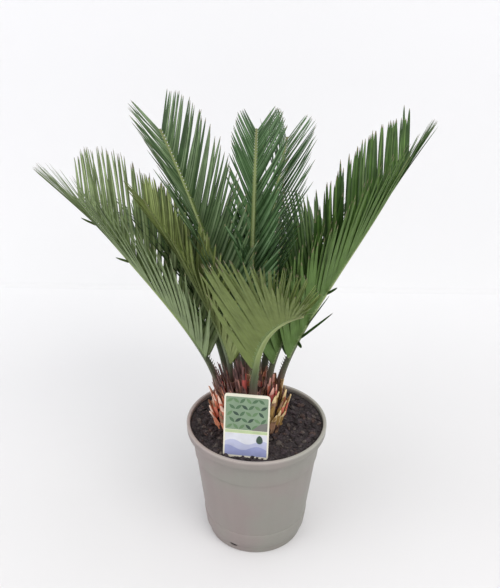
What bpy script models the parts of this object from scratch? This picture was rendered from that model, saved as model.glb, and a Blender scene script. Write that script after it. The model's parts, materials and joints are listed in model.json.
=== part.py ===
"""Young sago palm, about 0.6 m tall, in a 19 cm nursery pot.

Metres, +Z up. The origin is the middle of the pot's flat underside, and the
photograph's viewer stands on the -Y side. Azimuths are degrees from +X towards +Y.
"""

import math
import random

import bmesh
import bpy
import numpy as np
from mathutils import Matrix, Vector

OBJECT_NAME = "sago_palm"
SEED = 19
GAP = 0.0003
WELD = 0.00001

# Pot: a turned, tapered shell with a rolled lip, a step below it and a foot ring
POT_HEIGHT = 0.178
POT_RIM_RADIUS = 0.095
POT_BASE_RADIUS = 0.068
POT_BODY_TOP_RADIUS = 0.0875
POT_WALL = 0.0022
POT_FLOOR = 0.0035
LIP_HEIGHT = 0.012
LIP_ROLL = 0.0016
LIP_BAND = 0.0046
LIP_TAPER = 0.0006
LIP_SHOULDER = 0.004
UPPER_STEP_HEIGHT = 0.131
UPPER_STEP = 0.0010
FOOT_RING_HEIGHT = 0.036
FOOT_RING = 0.0008
FOOT_CHAMFER = 0.014
FOOT_ROUND = 0.001
POT_STEPS = 48

# Drain holes through the foot of the wall
DRAIN_COUNT = 4
DRAIN_FIRST_AZIMUTH = 244.0
DRAIN_WIDTH = 0.0125
DRAIN_HEIGHT = 0.0085
DRAIN_CENTRE = 0.0108
DRAIN_CUT_DEPTH = 0.016
DRAIN_SIDES = 12

# Compost
SOIL_LEVEL = 0.1725
SOIL_DISH = 0.002
SOIL_DISH_PLACE = 0.8
SOIL_EDGE_DROP = 0.0015

# Caudex: the short swollen trunk, cut flat where it meets the compost, a little left of the pot's axis
PLANT_CENTRE = (-0.010, 0.0)
CAUDEX_HEIGHT = 0.0545
CAUDEX_PROFILE = (
    # height above the compost and radius, as shares of the two sizes beside it
    (0.00, 0.90),
    (0.20, 0.98),
    (0.42, 1.00),
    (0.62, 0.93),
    (0.80, 0.74),
    (0.92, 0.48),
    (1.00, 0.16),
)
CAUDEX_RADIUS = 0.051
CAUDEX_STEPS = 20
SCALE_RINGS = 3
SCALE_FIRST_RING = 0.22
SCALE_RING_STEP = 0.24
SCALES_PER_RING = 10
SCALE_FIRST_AZIMUTH = 9.0
SCALE_LENGTH = 0.024
SCALE_WIDTH = 0.0144
SCALE_TIP_WIDTH = 0.00288
SCALE_SUNK = 0.005
SCALE_CLEAR_OF_STUB = 0.8
SCALE_SPLAY = 22.0
SCALE_SPLAY_STEP = 6.0
STUB_HEART = 0.45
STUB_START = 0.40
STUB_WIDTH = 1.24
STUB_FLARE = 1.7
COLLAR_FLARE = 1.25
COLLAR_LENGTH = 0.013
COLLAR_TRIM = 0.0008
PETIOLE_ROOM = 0.78
PETIOLE_ROOM_LENGTH = 0.030
PETIOLE_FOOT = 0.012
PEG_SIDES = {"collar": 8, "stub": 7, "scale": 5, "room": 10}

# Plant tag
TAG_WIDTH = 0.0575
TAG_HEIGHT = 0.0865
TAG_CORNER = 0.004
TAG_THICKNESS = 0.0012
TAG_STAKE_WIDTH = 0.014
TAG_STAKE_LENGTH = 0.014
TAG_STAKE_POINT = 0.010
TAG_LEAN = 11.0
TAG_TURN = -7.0
TAG_FOOT = (-0.0137, -0.0770)
TAG_RISE = -0.0005

# Fronds: where each starts on the caudex and how its rib bends
FROND_FIELDS = (
    "azimuth", "turn", "base_radius", "base_height", "rise_start", "rise_end", "bend", "length",
    "leaflets", "lift", "roll", "forward_base", "forward_tip", "left_row", "petiole",
)
FRONDS = {
    "frond_far_left": (160, -30, 0.043, 0.214, 94, 24, 0.34, 0.345, 1.10, 70, -8, 54, 28, 1.0, 0.15),
    "frond_back_left": (134, -2, 0.022, 0.236, 95, 50, 0.40, 0.348, 0.86, 66, -20, 54, 35, 1.0, 0.20),
    "frond_far_right": (26, 34, 0.043, 0.215, 96, 34, 0.32, 0.380, 1.02, 70, -6, 46, 22, 1.0, 0.13),
    "frond_back_centre": (88, 1, 0.012, 0.240, 95, 28, 1.00, 0.354, 0.67, 66, 4, 60, 42, 0.84, 0.20),
    "frond_back_right": (71, 8, 0.029, 0.233, 90, 30, 1.20, 0.342, 0.76, 58, 14, 46, 26, 1.0, 0.20),
    "frond_front": (-78, 16, 0.024, 0.228, 95, 31, 0.50, 0.250, 1.21, 78, 36, 42, 18, 0.62, 0.21),
    "frond_middle_left": (168, -34, 0.024, 0.232, 96, 42, 0.50, 0.275, 0.62, 66, -14, 40, 24, 1.0, 0.11),
    "frond_middle_right": (32, 10, 0.030, 0.222, 96, 30, 0.45, 0.290, 0.82, 66, -10, 54, 28, 1.0, 0.12),
    "frond_rear_left": (134, 0, 0.041, 0.213, 78, -10, 1.00, 0.315, 0.90, 55, 0, 62, 27, 1.0, 0.20),
    "frond_rear": (100, 0, 0.040, 0.213, 76, -18, 1.00, 0.320, 0.90, 50, 0, 62, 27, 1.0, 0.20),
    "frond_rear_right": (66, 0, 0.042, 0.213, 78, -14, 1.00, 0.310, 0.90, 50, 0, 62, 27, 1.0, 0.20),
}
PETIOLE_SEGMENTS = 4
RIB_BASE_WIDTH = 0.0128
RIB_WIDTH = 0.0084
RIB_TIP_WIDTH = 0.0030
PETIOLE_TAPER = 1.5
RIB_TAPER = 1.5
RIB_CONES = 20

# Leaflets: one for each pair on the live frond, so twice as far apart and wider
LEAFLET_PAIRS = 23
LEAFLET_LENGTH = 0.135
LEAFLET_PROFILE = (0.19, 0.88)
LEAFLET_PROFILE_POWER = 0.75
LEAFLET_SHARE_OF_PITCH = 0.54
LEAFLET_TIP_WIDTH = 0.0030
LEAFLET_TIP_THICKNESS = 0.0014
LEAFLET_TIP_FLATTER = 0.4
LEAFLET_CLEARANCE = 0.0006
ROOT_SLANT = 1.1
RIB_REACH = 0.75
LEAFLET_CHOICES = (
    # changes of forward angle and lift in degrees, and share of the full length
    (0, 0, 1.0),
    (0, 9, 1.0),
    (0, -9, 1.0),
    (-9, 0, 1.0),
    (9, 6, 1.0),
    (-14, 8, 0.92),
    (0, 16, 0.90),
    (0, -16, 0.90),
    (0, 0, 0.78),
    (8, 20, 0.74),
    (0, 9, 0.64),
    (0, -9, 0.64),
    (0, 0, 0.52),
    (0, 14, 0.44),
    (0, -14, 0.44),
    (0, 0, 0.32),
)

# Colour, roughness and metallic value of each material
MATERIALS = {
    "pot_plastic": ((0.314, 0.291, 0.266), 0.48, 0.0),
    "compost": ((0.045, 0.031, 0.030), 0.95, 0.0),
    "caudex_scales": ((0.420, 0.160, 0.085), 0.80, 0.0),
    "frond_green": ((0.085, 0.150, 0.055), 0.45, 0.0),
    "tag_card": ((0.700, 0.720, 0.640), 0.35, 0.0),
}


def clear_scene():
    """Remove every object that the scene starts with."""
    for old in list(bpy.data.objects):
        bpy.data.objects.remove(old, do_unlink=True)


def new_collection(name):
    """Add a collection to the scene."""
    collection = bpy.data.collections.new(name)
    bpy.context.scene.collection.children.link(collection)
    return collection


def make_material(name):
    """Principled material from the table above."""
    colour, roughness, metallic = MATERIALS[name]
    material = bpy.data.materials.new(name)
    material.use_nodes = True
    shader = material.node_tree.nodes["Principled BSDF"]
    shader.inputs["Base Color"].default_value = (*colour, 1.0)
    shader.inputs["Roughness"].default_value = roughness
    shader.inputs["Metallic"].default_value = metallic
    material.diffuse_color = (*colour, 1.0)
    return material


def add_object(name, mesh, collection, material=None):
    """Link a mesh as a named object."""
    obj = bpy.data.objects.new(name, mesh)
    collection.objects.link(obj)
    if material is not None:
        mesh.materials.append(material)
    return obj


def mesh_from_bmesh(name, bm):
    """Turn a bmesh into a mesh with its faces pointing out."""
    bmesh.ops.recalc_face_normals(bm, faces=bm.faces)
    mesh = bpy.data.meshes.new(name)
    bm.to_mesh(mesh)
    bm.free()
    return mesh


def weld(mesh):
    """Join coinciding points and turn the faces out."""
    bm = bmesh.new()
    bm.from_mesh(mesh)
    bmesh.ops.remove_doubles(bm, verts=bm.verts, dist=WELD)
    bmesh.ops.recalc_face_normals(bm, faces=bm.faces)
    bm.to_mesh(mesh)
    bm.free()


def smooth(obj, angle=38.0):
    """Shade smooth, with edges sharper than the angle kept."""
    obj.data.shade_smooth()
    obj.data.set_sharp_from_angle(angle=math.radians(angle))


def turned(name, profile, steps, collection, material=None):
    """Turn a profile of (radius, height) points round Z with a Screw modifier."""
    mesh = bpy.data.meshes.new(name)
    edges = [(i, i + 1) for i in range(len(profile) - 1)]
    mesh.from_pydata([(radius, 0.0, height) for radius, height in profile], edges, [])
    obj = add_object(name, mesh, collection, material)
    screw = obj.modifiers.new("turn", "SCREW")
    screw.steps = steps
    screw.render_steps = steps
    screw.use_merge_vertices = True
    screw.merge_threshold = 0.00005
    return obj


def apply_modifiers(obj):
    """Replace an object's mesh by what its modifiers make of it."""
    bpy.context.view_layer.update()
    depsgraph = bpy.context.evaluated_depsgraph_get()
    mesh = bpy.data.meshes.new_from_object(obj.evaluated_get(depsgraph))
    obj.modifiers.clear()
    obj.data = mesh


def cut(obj, cutters, solver="EXACT"):
    """Take every object of a collection out of another."""
    boolean = obj.modifiers.new("cut", "BOOLEAN")
    boolean.operation = "DIFFERENCE"
    boolean.operand_type = "COLLECTION"
    boolean.collection = cutters
    boolean.solver = solver
    apply_modifiers(obj)


def keep_outer_shell(obj):
    """Drop loose scraps and fill sealed hollows: only the widest connected shell stays."""
    bm = bmesh.new()
    bm.from_mesh(obj.data)
    waiting = set(bm.verts)
    shells = []
    while waiting:
        edge_of_shell = [waiting.pop()]
        shell = set(edge_of_shell)
        while edge_of_shell:
            vert = edge_of_shell.pop()
            for edge in vert.link_edges:
                other = edge.other_vert(vert)
                if other in waiting:
                    waiting.remove(other)
                    shell.add(other)
                    edge_of_shell.append(other)
        shells.append(shell)
    shells.sort(key=lambda verts: max(v.co.z for v in verts) - min(v.co.z for v in verts))
    for shell in shells[:-1]:
        bmesh.ops.delete(bm, geom=list(shell), context="VERTS")
    bm.to_mesh(obj.data)
    bm.free()


def remove_collection(collection):
    """Remove a collection with its objects."""
    for obj in list(collection.objects):
        bpy.data.objects.remove(obj, do_unlink=True)
    bpy.data.collections.remove(collection)


def wall_radius(height):
    """Outer radius of the plain tapered wall at a height."""
    top = POT_HEIGHT - LIP_HEIGHT
    return POT_BASE_RADIUS + (POT_BODY_TOP_RADIUS - POT_BASE_RADIUS) * height / top


def inner_radius(height):
    """Inner radius of the wall below the lip."""
    return wall_radius(height) - POT_WALL


def pot_profile():
    """Closed profile of the shell: lip, outer side downwards, underside, inside upwards."""
    lip_foot = POT_HEIGHT - LIP_HEIGHT
    lip_inner = POT_RIM_RADIUS - LIP_BAND
    outer = [
        (lip_inner + LIP_ROLL, POT_HEIGHT),
        (POT_RIM_RADIUS - LIP_ROLL, POT_HEIGHT),
        (POT_RIM_RADIUS, POT_HEIGHT - LIP_ROLL),
        (POT_RIM_RADIUS - LIP_TAPER, lip_foot),
        (POT_BODY_TOP_RADIUS + UPPER_STEP, lip_foot),
        (wall_radius(UPPER_STEP_HEIGHT) + UPPER_STEP, UPPER_STEP_HEIGHT),
        (wall_radius(UPPER_STEP_HEIGHT), UPPER_STEP_HEIGHT - 2 * UPPER_STEP),
        (wall_radius(FOOT_RING_HEIGHT), FOOT_RING_HEIGHT),
        (wall_radius(FOOT_RING_HEIGHT) + FOOT_RING, FOOT_RING_HEIGHT - FOOT_ROUND),
        (wall_radius(FOOT_CHAMFER) + FOOT_RING, FOOT_CHAMFER),
        (POT_BASE_RADIUS - FOOT_ROUND, FOOT_CHAMFER - 2 * FOOT_ROUND),
        (POT_BASE_RADIUS - 2 * FOOT_ROUND, FOOT_ROUND),
        (POT_BASE_RADIUS - 3 * FOOT_ROUND, 0.0),
        (0.0, 0.0),
    ]
    inside = [
        (0.0, POT_FLOOR),
        (inner_radius(FOOT_CHAMFER) - 3 * FOOT_ROUND, POT_FLOOR),
        (inner_radius(FOOT_CHAMFER), FOOT_CHAMFER),
        (inner_radius(lip_foot), lip_foot - FOOT_ROUND),
        (lip_inner, lip_foot + LIP_SHOULDER),
        (lip_inner, POT_HEIGHT - LIP_ROLL),
        (lip_inner + LIP_ROLL, POT_HEIGHT),
    ]
    return outer, inside


def drain_cutters(cutters):
    """Flattened cylinders that cut the drain holes."""
    for index in range(DRAIN_COUNT):
        azimuth = math.radians(DRAIN_FIRST_AZIMUTH + index * 360.0 / DRAIN_COUNT)
        bm = bmesh.new()
        bmesh.ops.create_cone(
            bm, cap_ends=True, segments=DRAIN_SIDES, radius1=0.5, radius2=0.5, depth=DRAIN_CUT_DEPTH
        )
        size = Matrix.Diagonal((DRAIN_WIDTH, DRAIN_HEIGHT, 1.0, 1.0))
        upright = Matrix.Rotation(math.pi / 2, 4, "X")
        outwards = Matrix.Rotation(azimuth + math.pi / 2, 4, "Z")
        place = Matrix.Translation((0.0, 2 * FOOT_ROUND - POT_BASE_RADIUS, DRAIN_CENTRE))
        bm.transform(outwards @ place @ upright @ size)
        cutter = add_object(f"drain_cutter_{index}", mesh_from_bmesh("drain_cutter", bm), cutters)
        cutter.hide_render = True
        cutter.display_type = "WIRE"


def build_pot(collection, cutters):
    """Turned pot with its drain holes."""
    outer, inside = pot_profile()
    pot = turned("pot", outer + inside, POT_STEPS, collection, make_material("pot_plastic"))
    apply_modifiers(pot)
    weld(pot.data)
    drain_cutters(cutters)
    cut(pot, cutters)
    smooth(pot)
    return pot


def build_compost(collection, tag_matrix):
    """Compost that fills the pot, slightly dished, with the slot of the tag's stake."""
    foot = POT_FLOOR + GAP
    lip_foot = POT_HEIGHT - LIP_HEIGHT
    lip_inner = POT_RIM_RADIUS - LIP_BAND
    profile = [
        (0.0, SOIL_LEVEL),
        (CAUDEX_RADIUS, SOIL_LEVEL),
        (lip_inner * SOIL_DISH_PLACE, SOIL_LEVEL - SOIL_DISH),
        (lip_inner - GAP, SOIL_LEVEL - SOIL_EDGE_DROP),
        (lip_inner - GAP, lip_foot + LIP_SHOULDER + GAP),
        (inner_radius(lip_foot) - GAP, lip_foot - FOOT_ROUND + GAP),
        (inner_radius(FOOT_CHAMFER) - GAP, FOOT_CHAMFER),
        (inner_radius(FOOT_CHAMFER) - 3 * FOOT_ROUND - GAP, foot),
        (0.0, foot),
    ]
    compost = turned("compost", profile, POT_STEPS, collection, make_material("compost"))
    apply_modifiers(compost)
    slot = new_collection("slot_cutter")
    bm = bmesh.new()
    depth = TAG_STAKE_LENGTH + TAG_STAKE_POINT
    bmesh.ops.create_cube(bm, size=1.0)
    size = Matrix.Diagonal((TAG_STAKE_WIDTH + 2 * GAP, TAG_THICKNESS + 2 * GAP, depth, 1.0))
    below = Matrix.Translation((0.0, 0.0, depth / 2 - TAG_STAKE_LENGTH - GAP))
    bm.transform(tag_matrix @ below @ size)
    add_object("slot_cutter", mesh_from_bmesh("slot_cutter", bm), slot)
    cut(compost, slot)
    remove_collection(slot)
    smooth(compost)
    return compost


def tag_outline():
    """Outline of the card with rounded corners and its pointed stake, foot of the card at 0."""
    half = TAG_WIDTH / 2
    stake = TAG_STAKE_WIDTH / 2
    points = []
    corners = (
        (half - TAG_CORNER, TAG_CORNER, -90),
        (half - TAG_CORNER, TAG_HEIGHT - TAG_CORNER, 0),
        (-half + TAG_CORNER, TAG_HEIGHT - TAG_CORNER, 90),
        (-half + TAG_CORNER, TAG_CORNER, 180),
    )
    for x, y, start in corners:
        for step in range(4):
            angle = math.radians(start + 30 * step)
            points.append((x + TAG_CORNER * math.cos(angle), y + TAG_CORNER * math.sin(angle)))
    shoulder = TAG_STAKE_POINT - TAG_STAKE_LENGTH
    points += [(-stake, 0.0), (-stake, shoulder), (0.0, -TAG_STAKE_LENGTH), (stake, shoulder), (stake, 0.0)]
    return points


def tag_placement():
    """Matrix from the card's frame, with its foot at 0 and Z up the card, to the pot."""
    foot = Vector((*TAG_FOOT, SOIL_LEVEL + TAG_RISE))
    turn = Matrix.Rotation(math.radians(TAG_TURN), 4, "Z")
    lean = Matrix.Rotation(-math.radians(TAG_LEAN), 4, "X")
    return Matrix.Translation(foot) @ turn @ lean


def build_tag(collection, tag_matrix):
    """Flat plastic tag as a filled 2D curve."""
    outline = tag_outline()
    curve = bpy.data.curves.new("plant_tag", "CURVE")
    curve.dimensions = "2D"
    curve.fill_mode = "BOTH"
    curve.extrude = TAG_THICKNESS / 2
    spline = curve.splines.new("POLY")
    spline.points.add(len(outline) - 1)
    for point, (x, y) in zip(spline.points, outline):
        point.co = (x, y, 0.0, 1.0)
    spline.use_cyclic_u = True
    flat = bpy.data.objects.new("plant_tag_outline", curve)
    collection.objects.link(flat)
    flat.matrix_world = tag_matrix @ Matrix.Rotation(math.pi / 2, 4, "X")
    bpy.context.view_layer.update()
    depsgraph = bpy.context.evaluated_depsgraph_get()
    mesh = bpy.data.meshes.new_from_object(flat.evaluated_get(depsgraph))
    weld(mesh)
    tag = add_object("plant_tag", mesh, collection, make_material("tag_card"))
    tag.matrix_world = flat.matrix_world
    bpy.data.objects.remove(flat, do_unlink=True)
    return tag


class Rib:
    """Rib of one frond: an arc that starts on the caudex and bends over as it goes out."""

    SAMPLES = 120

    def __init__(self, values):
        size = dict(zip(FROND_FIELDS, values))
        self.azimuth = math.radians(size["azimuth"])
        self.turn = math.radians(size["turn"])
        self.rise = (math.radians(size["rise_start"]), math.radians(size["rise_end"]))
        self.bend = size["bend"]
        self.length = size["length"]
        self.leaflets = size["leaflets"]
        self.lift = size["lift"]
        self.roll = size["roll"]
        self.forward = (size["forward_base"], size["forward_tip"])
        self.row_share = {1: size["left_row"], -1: 1.0}
        self.petiole = size["petiole"]
        radius = size["base_radius"]
        out = Vector((math.cos(self.azimuth), math.sin(self.azimuth), 0.0))
        self.points = [Vector((*PLANT_CENTRE, size["base_height"])) + out * radius]
        step = self.length / self.SAMPLES
        for index in range(self.SAMPLES):
            self.points.append(self.points[-1] + self.direction((index + 0.5) / self.SAMPLES) * step)

    def direction(self, share):
        """Unit tangent at a share of the length."""
        rise = self.rise[0] + (self.rise[1] - self.rise[0]) * share ** self.bend
        azimuth = self.azimuth + self.turn * share ** 1.5
        level = math.cos(rise)
        return Vector((level * math.cos(azimuth), level * math.sin(azimuth), math.sin(rise)))

    def point(self, share):
        """Point at a share of the length."""
        place = min(max(share, 0.0), 1.0) * self.SAMPLES
        index = min(int(place), self.SAMPLES - 1)
        return self.points[index].lerp(self.points[index + 1], place - index)

    def frame(self, share):
        """Tangent, left side and upper normal at a share of the length."""
        tangent = self.direction(share)
        azimuth = self.azimuth + self.turn * share ** 1.5
        level_side = Vector((-math.sin(azimuth), math.cos(azimuth), 0.0))
        normal = tangent.cross(level_side).normalized()
        return tangent, normal.cross(tangent).normalized(), normal

    def width(self, share):
        """Width of the rib: swollen foot, petiole, then a slow taper to the tip."""
        if share < self.petiole:
            foot = (1.0 - share / self.petiole) ** PETIOLE_TAPER
            return RIB_WIDTH + (RIB_BASE_WIDTH - RIB_WIDTH) * foot
        outward = (share - self.petiole) / (1.0 - self.petiole)
        return RIB_TIP_WIDTH + (RIB_WIDTH - RIB_TIP_WIDTH) * (1.0 - outward) ** RIB_TAPER


def rib_section(rib, share):
    """Three-sided section with its ridge on the upper side: ridge, left and right corner."""
    side, normal = rib.frame(share)[1:]
    half = rib.width(share) / 2
    centre = rib.point(share)
    return [centre + normal * half, centre + (side - normal) * half, centre - (side + normal) * half]


def leaflet_shares(rib):
    """Start and end of each leaflet's root along the rib, as shares of the rib's length."""
    pitch = (1.0 - rib.petiole) / LEAFLET_PAIRS
    starts = [rib.petiole + pitch * index for index in range(LEAFLET_PAIRS)]
    return [(start, start + pitch * LEAFLET_SHARE_OF_PITCH) for start in starts]


def leaflet_length(outward):
    """Leaflets are short at both ends of the frond, more so at its tip, and longest before its middle."""
    first, last = LEAFLET_PROFILE
    return LEAFLET_LENGTH * math.sin(math.pi * (first + (last - first) * outward)) ** LEAFLET_PROFILE_POWER


def leaflet_direction(rib, share, hand, outward, choice):
    """Direction of a leaflet: forward along the rib and up into a V."""
    tangent, side, normal = rib.frame(share)
    forward = rib.forward[0] + (rib.forward[1] - rib.forward[0]) * outward
    forward = math.radians(forward + choice[0])
    lift = rib.lift * (1.0 - LEAFLET_TIP_FLATTER * outward ** 2) + hand * rib.roll
    lift = math.radians(lift + choice[1])
    across = side * (hand * math.cos(lift)) + normal * math.sin(lift)
    return (tangent * math.cos(forward) + across * math.sin(forward)).normalized()


class Clearance:
    """Round-ended cones that stand for ribs and leaflets, to keep each frond to its own space."""

    SHARES = np.linspace(0.0, 1.0, 96)[:, None]

    def __init__(self):
        self.rows = []
        self.owners = []

    def add(self, owner, start, end, start_radius, end_radius):
        self.rows.append((*start, *end, start_radius, end_radius))
        self.owners.append(owner)

    def free(self, owner, start, end, start_radius, end_radius):
        """True where a cone stays clear of all the others' cones."""
        rows = np.array([row for row, name in zip(self.rows, self.owners) if name != owner])
        first = rows[:, 0:3]
        along = rows[:, 3:6] - first
        points = np.array(start) * (1.0 - self.SHARES) + np.array(end) * self.SHARES
        radii = start_radius * (1.0 - self.SHARES) + end_radius * self.SHARES
        offset = points[:, None, :] - first
        place = np.clip((offset * along).sum(2) / (along ** 2).sum(1), 0.0, 1.0)
        distance = np.linalg.norm(offset - along * place[:, :, None], axis=2)
        others = rows[:, 6] * (1.0 - place) + rows[:, 7] * place
        return not np.any(distance < radii + others + LEAFLET_CLEARANCE)


def rib_stations(rib):
    """Shares of the length at which the rib has a section."""
    stations = [rib.petiole * i / PETIOLE_SEGMENTS for i in range(PETIOLE_SEGMENTS)]
    for start, end in leaflet_shares(rib):
        stations += [start, end]
    return stations + [1.0]


def loft_rib(bm, rib):
    """Skin the rib's sections and return its left and right upper faces by station."""
    rings = []
    for share in rib_stations(rib):
        rings.append([bm.verts.new(corner) for corner in rib_section(rib, share)])
    bm.faces.new(reversed(rings[0]))
    bm.faces.new(rings[-1])
    upper = []
    for near, far in zip(rings, rings[1:]):
        sides = [bm.faces.new((near[i], near[i - 2], far[i - 2], far[i])) for i in range(3)]
        upper.append({1: sides[0], -1: sides[2]})
    return upper


def grow_leaflet(bm, root, start, direction, length, tangent):
    """Draw a root face out along the leaflet and narrow its end to the leaflet's tip."""
    centre = root.calc_center_median()
    widthwise = (tangent - direction * tangent.dot(direction)).normalized()
    thickness = direction.cross(widthwise)
    grown = bmesh.ops.extrude_discrete_faces(bm, faces=[root])["faces"][0]
    tip = start + direction * length
    for vert in grown.verts:
        offset = vert.co - centre
        along = math.copysign(LEAFLET_TIP_WIDTH / 2, offset.dot(tangent))
        rest = offset - tangent * offset.dot(tangent)
        through = math.copysign(LEAFLET_TIP_THICKNESS / 2, rest.dot(thickness))
        vert.co = tip + widthwise * along + thickness * through


def build_frond(name, rib, clearance, chance, collection, material):
    """One frond: the rib with a leaflet drawn out of each root face that has room."""
    bm = bmesh.new()
    upper = loft_rib(bm, rib)
    bmesh.ops.recalc_face_normals(bm, faces=bm.faces)
    tip_reach = math.hypot(LEAFLET_TIP_WIDTH, LEAFLET_TIP_THICKNESS) / 2
    for index, (near, far) in enumerate(leaflet_shares(rib)):
        outward = index / (LEAFLET_PAIRS - 1)
        middle = (near + far) / 2
        tangent = rib.frame(middle)[0]
        root_reach = math.hypot((far - near) * rib.length, rib.width(middle) * ROOT_SLANT) / 2
        length = leaflet_length(outward) * rib.leaflets * chance.uniform(0.97, 1.03)
        for hand in (1, -1):
            face = upper[PETIOLE_SEGMENTS + 2 * index][hand]
            start = face.calc_center_median()
            for choice in LEAFLET_CHOICES:
                direction = leaflet_direction(rib, middle, hand, outward, choice)
                reach = length * rib.row_share[hand] * choice[2]
                end = start + direction * reach
                if clearance.free(name, start, end, root_reach, tip_reach):
                    grow_leaflet(bm, face, start, direction, reach, tangent)
                    clearance.add(name, start, end, root_reach, tip_reach)
                    break
    bmesh.ops.triangulate(bm, faces=bm.faces)
    return add_object(name, mesh_from_bmesh(name, bm), collection, material)


def build_fronds(collection, ribs):
    """All the fronds, each in its own space."""
    clearance = Clearance()
    for name, rib in ribs.items():
        for step in range(RIB_CONES):
            near, far = step / RIB_CONES, (step + 1) / RIB_CONES
            reach = rib.width(near) * RIB_REACH
            clearance.add(name, rib.point(near), rib.point(far), reach, rib.width(far) * RIB_REACH)
    material = make_material("frond_green")
    chance = random.Random(SEED)
    for name, rib in ribs.items():
        build_frond(name, rib, clearance, chance, collection, material)


def caudex_surface(height_share):
    """Radius of the caudex at a share of its height."""
    for (low, low_radius), (high, high_radius) in zip(CAUDEX_PROFILE, CAUDEX_PROFILE[1:]):
        if height_share <= high:
            part = (height_share - low) / (high - low)
            return CAUDEX_RADIUS * (low_radius + (high_radius - low_radius) * part)
    return CAUDEX_RADIUS * CAUDEX_PROFILE[-1][1]


def tapered_peg(kind, start, end, start_radius, end_radius, collection):
    """Cone between two points, closed at both ends, with its kind's number of sides."""
    axis = end - start
    bm = bmesh.new()
    bmesh.ops.create_cone(
        bm,
        cap_ends=True,
        segments=PEG_SIDES[kind],
        radius1=start_radius,
        radius2=end_radius,
        depth=axis.length,
    )
    turn = axis.to_track_quat("Z", "Y").to_matrix().to_4x4()
    bm.transform(Matrix.Translation((start + end) / 2) @ turn)
    return add_object(kind, mesh_from_bmesh(kind, bm), collection)


def add_leaf_bases(ribs, pieces):
    """Short stubs on the caudex: each ends square under its frond, just clear of it.

    Returns points along each collar and the petiole above it.
    """
    taken = []
    heart = Vector((*PLANT_CENTRE, SOIL_LEVEL + CAUDEX_HEIGHT * STUB_HEART))
    for rib in ribs.values():
        tangent = rib.direction(0.0)
        seat = rib.point(0.0) - tangent * GAP
        radius = rib.width(0.0) * STUB_WIDTH / 2
        collar = seat - tangent * COLLAR_LENGTH
        root = heart.lerp(collar, STUB_START)
        inside = collar + tangent * COLLAR_LENGTH / 3
        tapered_peg("collar", collar, seat + tangent * COLLAR_TRIM, radius * COLLAR_FLARE, radius, pieces)
        tapered_peg("stub", root, inside, radius * STUB_FLARE, radius, pieces)
        taken += [collar, seat, seat + tangent * PETIOLE_FOOT]
    return taken


def clear_petioles(caudex, ribs):
    """Trim each stub to its seat and cut the room of the petiole above it out of the caudex."""
    rooms = new_collection("petiole_rooms")
    for rib in ribs.values():
        tangent = rib.direction(0.0)
        seat = rib.point(0.0) - tangent * GAP
        radius = rib.width(0.0) * PETIOLE_ROOM
        tapered_peg("room", seat, seat + tangent * PETIOLE_ROOM_LENGTH, radius, radius, rooms)
    cut(caudex, rooms, "MANIFOLD")
    remove_collection(rooms)


def add_scales(pieces, taken):
    """Old leaf bases: pointed scales in rings, splayed at their tips, where no frond's stub stands."""
    step = math.tau / SCALES_PER_RING
    for ring in range(SCALE_RINGS):
        share = SCALE_FIRST_RING + SCALE_RING_STEP * ring
        level = Vector((*PLANT_CENTRE, SOIL_LEVEL + share * CAUDEX_HEIGHT))
        lean = math.radians(SCALE_SPLAY - SCALE_SPLAY_STEP * ring)
        for index in range(SCALES_PER_RING):
            azimuth = math.radians(SCALE_FIRST_AZIMUTH) + step * (index + (ring % 2) / 2)
            out = Vector((math.cos(azimuth), math.sin(azimuth), 0.0))
            foot = level + out * (caudex_surface(share) - SCALE_SUNK)
            tip = foot + (Vector((0.0, 0.0, math.cos(lean))) + out * math.sin(lean)) * SCALE_LENGTH
            if min((tip - point).length for point in taken) > SCALE_LENGTH * SCALE_CLEAR_OF_STUB:
                tapered_peg("scale", foot, tip, SCALE_WIDTH / 2, SCALE_TIP_WIDTH / 2, pieces)


def build_caudex(collection, ribs):
    """Swollen trunk, with its leaf bases joined on by one union."""
    foot = SOIL_LEVEL + GAP
    profile = [(radius * CAUDEX_RADIUS, foot + share * CAUDEX_HEIGHT) for share, radius in CAUDEX_PROFILE]
    outline = [(0.0, profile[-1][1])] + profile[::-1] + [(0.0, foot)]
    caudex = turned("caudex", outline, CAUDEX_STEPS, collection, make_material("caudex_scales"))
    apply_modifiers(caudex)
    caudex.data.transform(Matrix.Translation((*PLANT_CENTRE, 0.0)))
    pieces = new_collection("caudex_pieces")
    taken = add_leaf_bases(ribs, pieces)
    add_scales(pieces, taken)
    union = caudex.modifiers.new("join", "BOOLEAN")
    union.operation = "UNION"
    union.operand_type = "COLLECTION"
    union.collection = pieces
    union.solver = "MANIFOLD"
    apply_modifiers(caudex)
    remove_collection(pieces)
    clear_petioles(caudex, ribs)
    keep_outer_shell(caudex)
    smooth(caudex)
    return caudex


def main():
    clear_scene()
    collection = new_collection(OBJECT_NAME)
    cutters = new_collection("cutters")
    ribs = {name: Rib(values) for name, values in FRONDS.items()}
    tag_matrix = tag_placement()
    build_pot(collection, cutters)
    build_compost(collection, tag_matrix)
    build_tag(collection, tag_matrix)
    build_caudex(collection, ribs)
    build_fronds(collection, ribs)


main()
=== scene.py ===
"""Looks of the potted sago palm: fine leaflets, scaly caudex, compost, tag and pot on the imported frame.

Metres, +Z up, in the row's frame. Azimuths are degrees from +X towards +Y.
"""

import json
import math
import random

import bmesh
import bpy
import numpy as np
from mathutils import Matrix, Vector, noise

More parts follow.
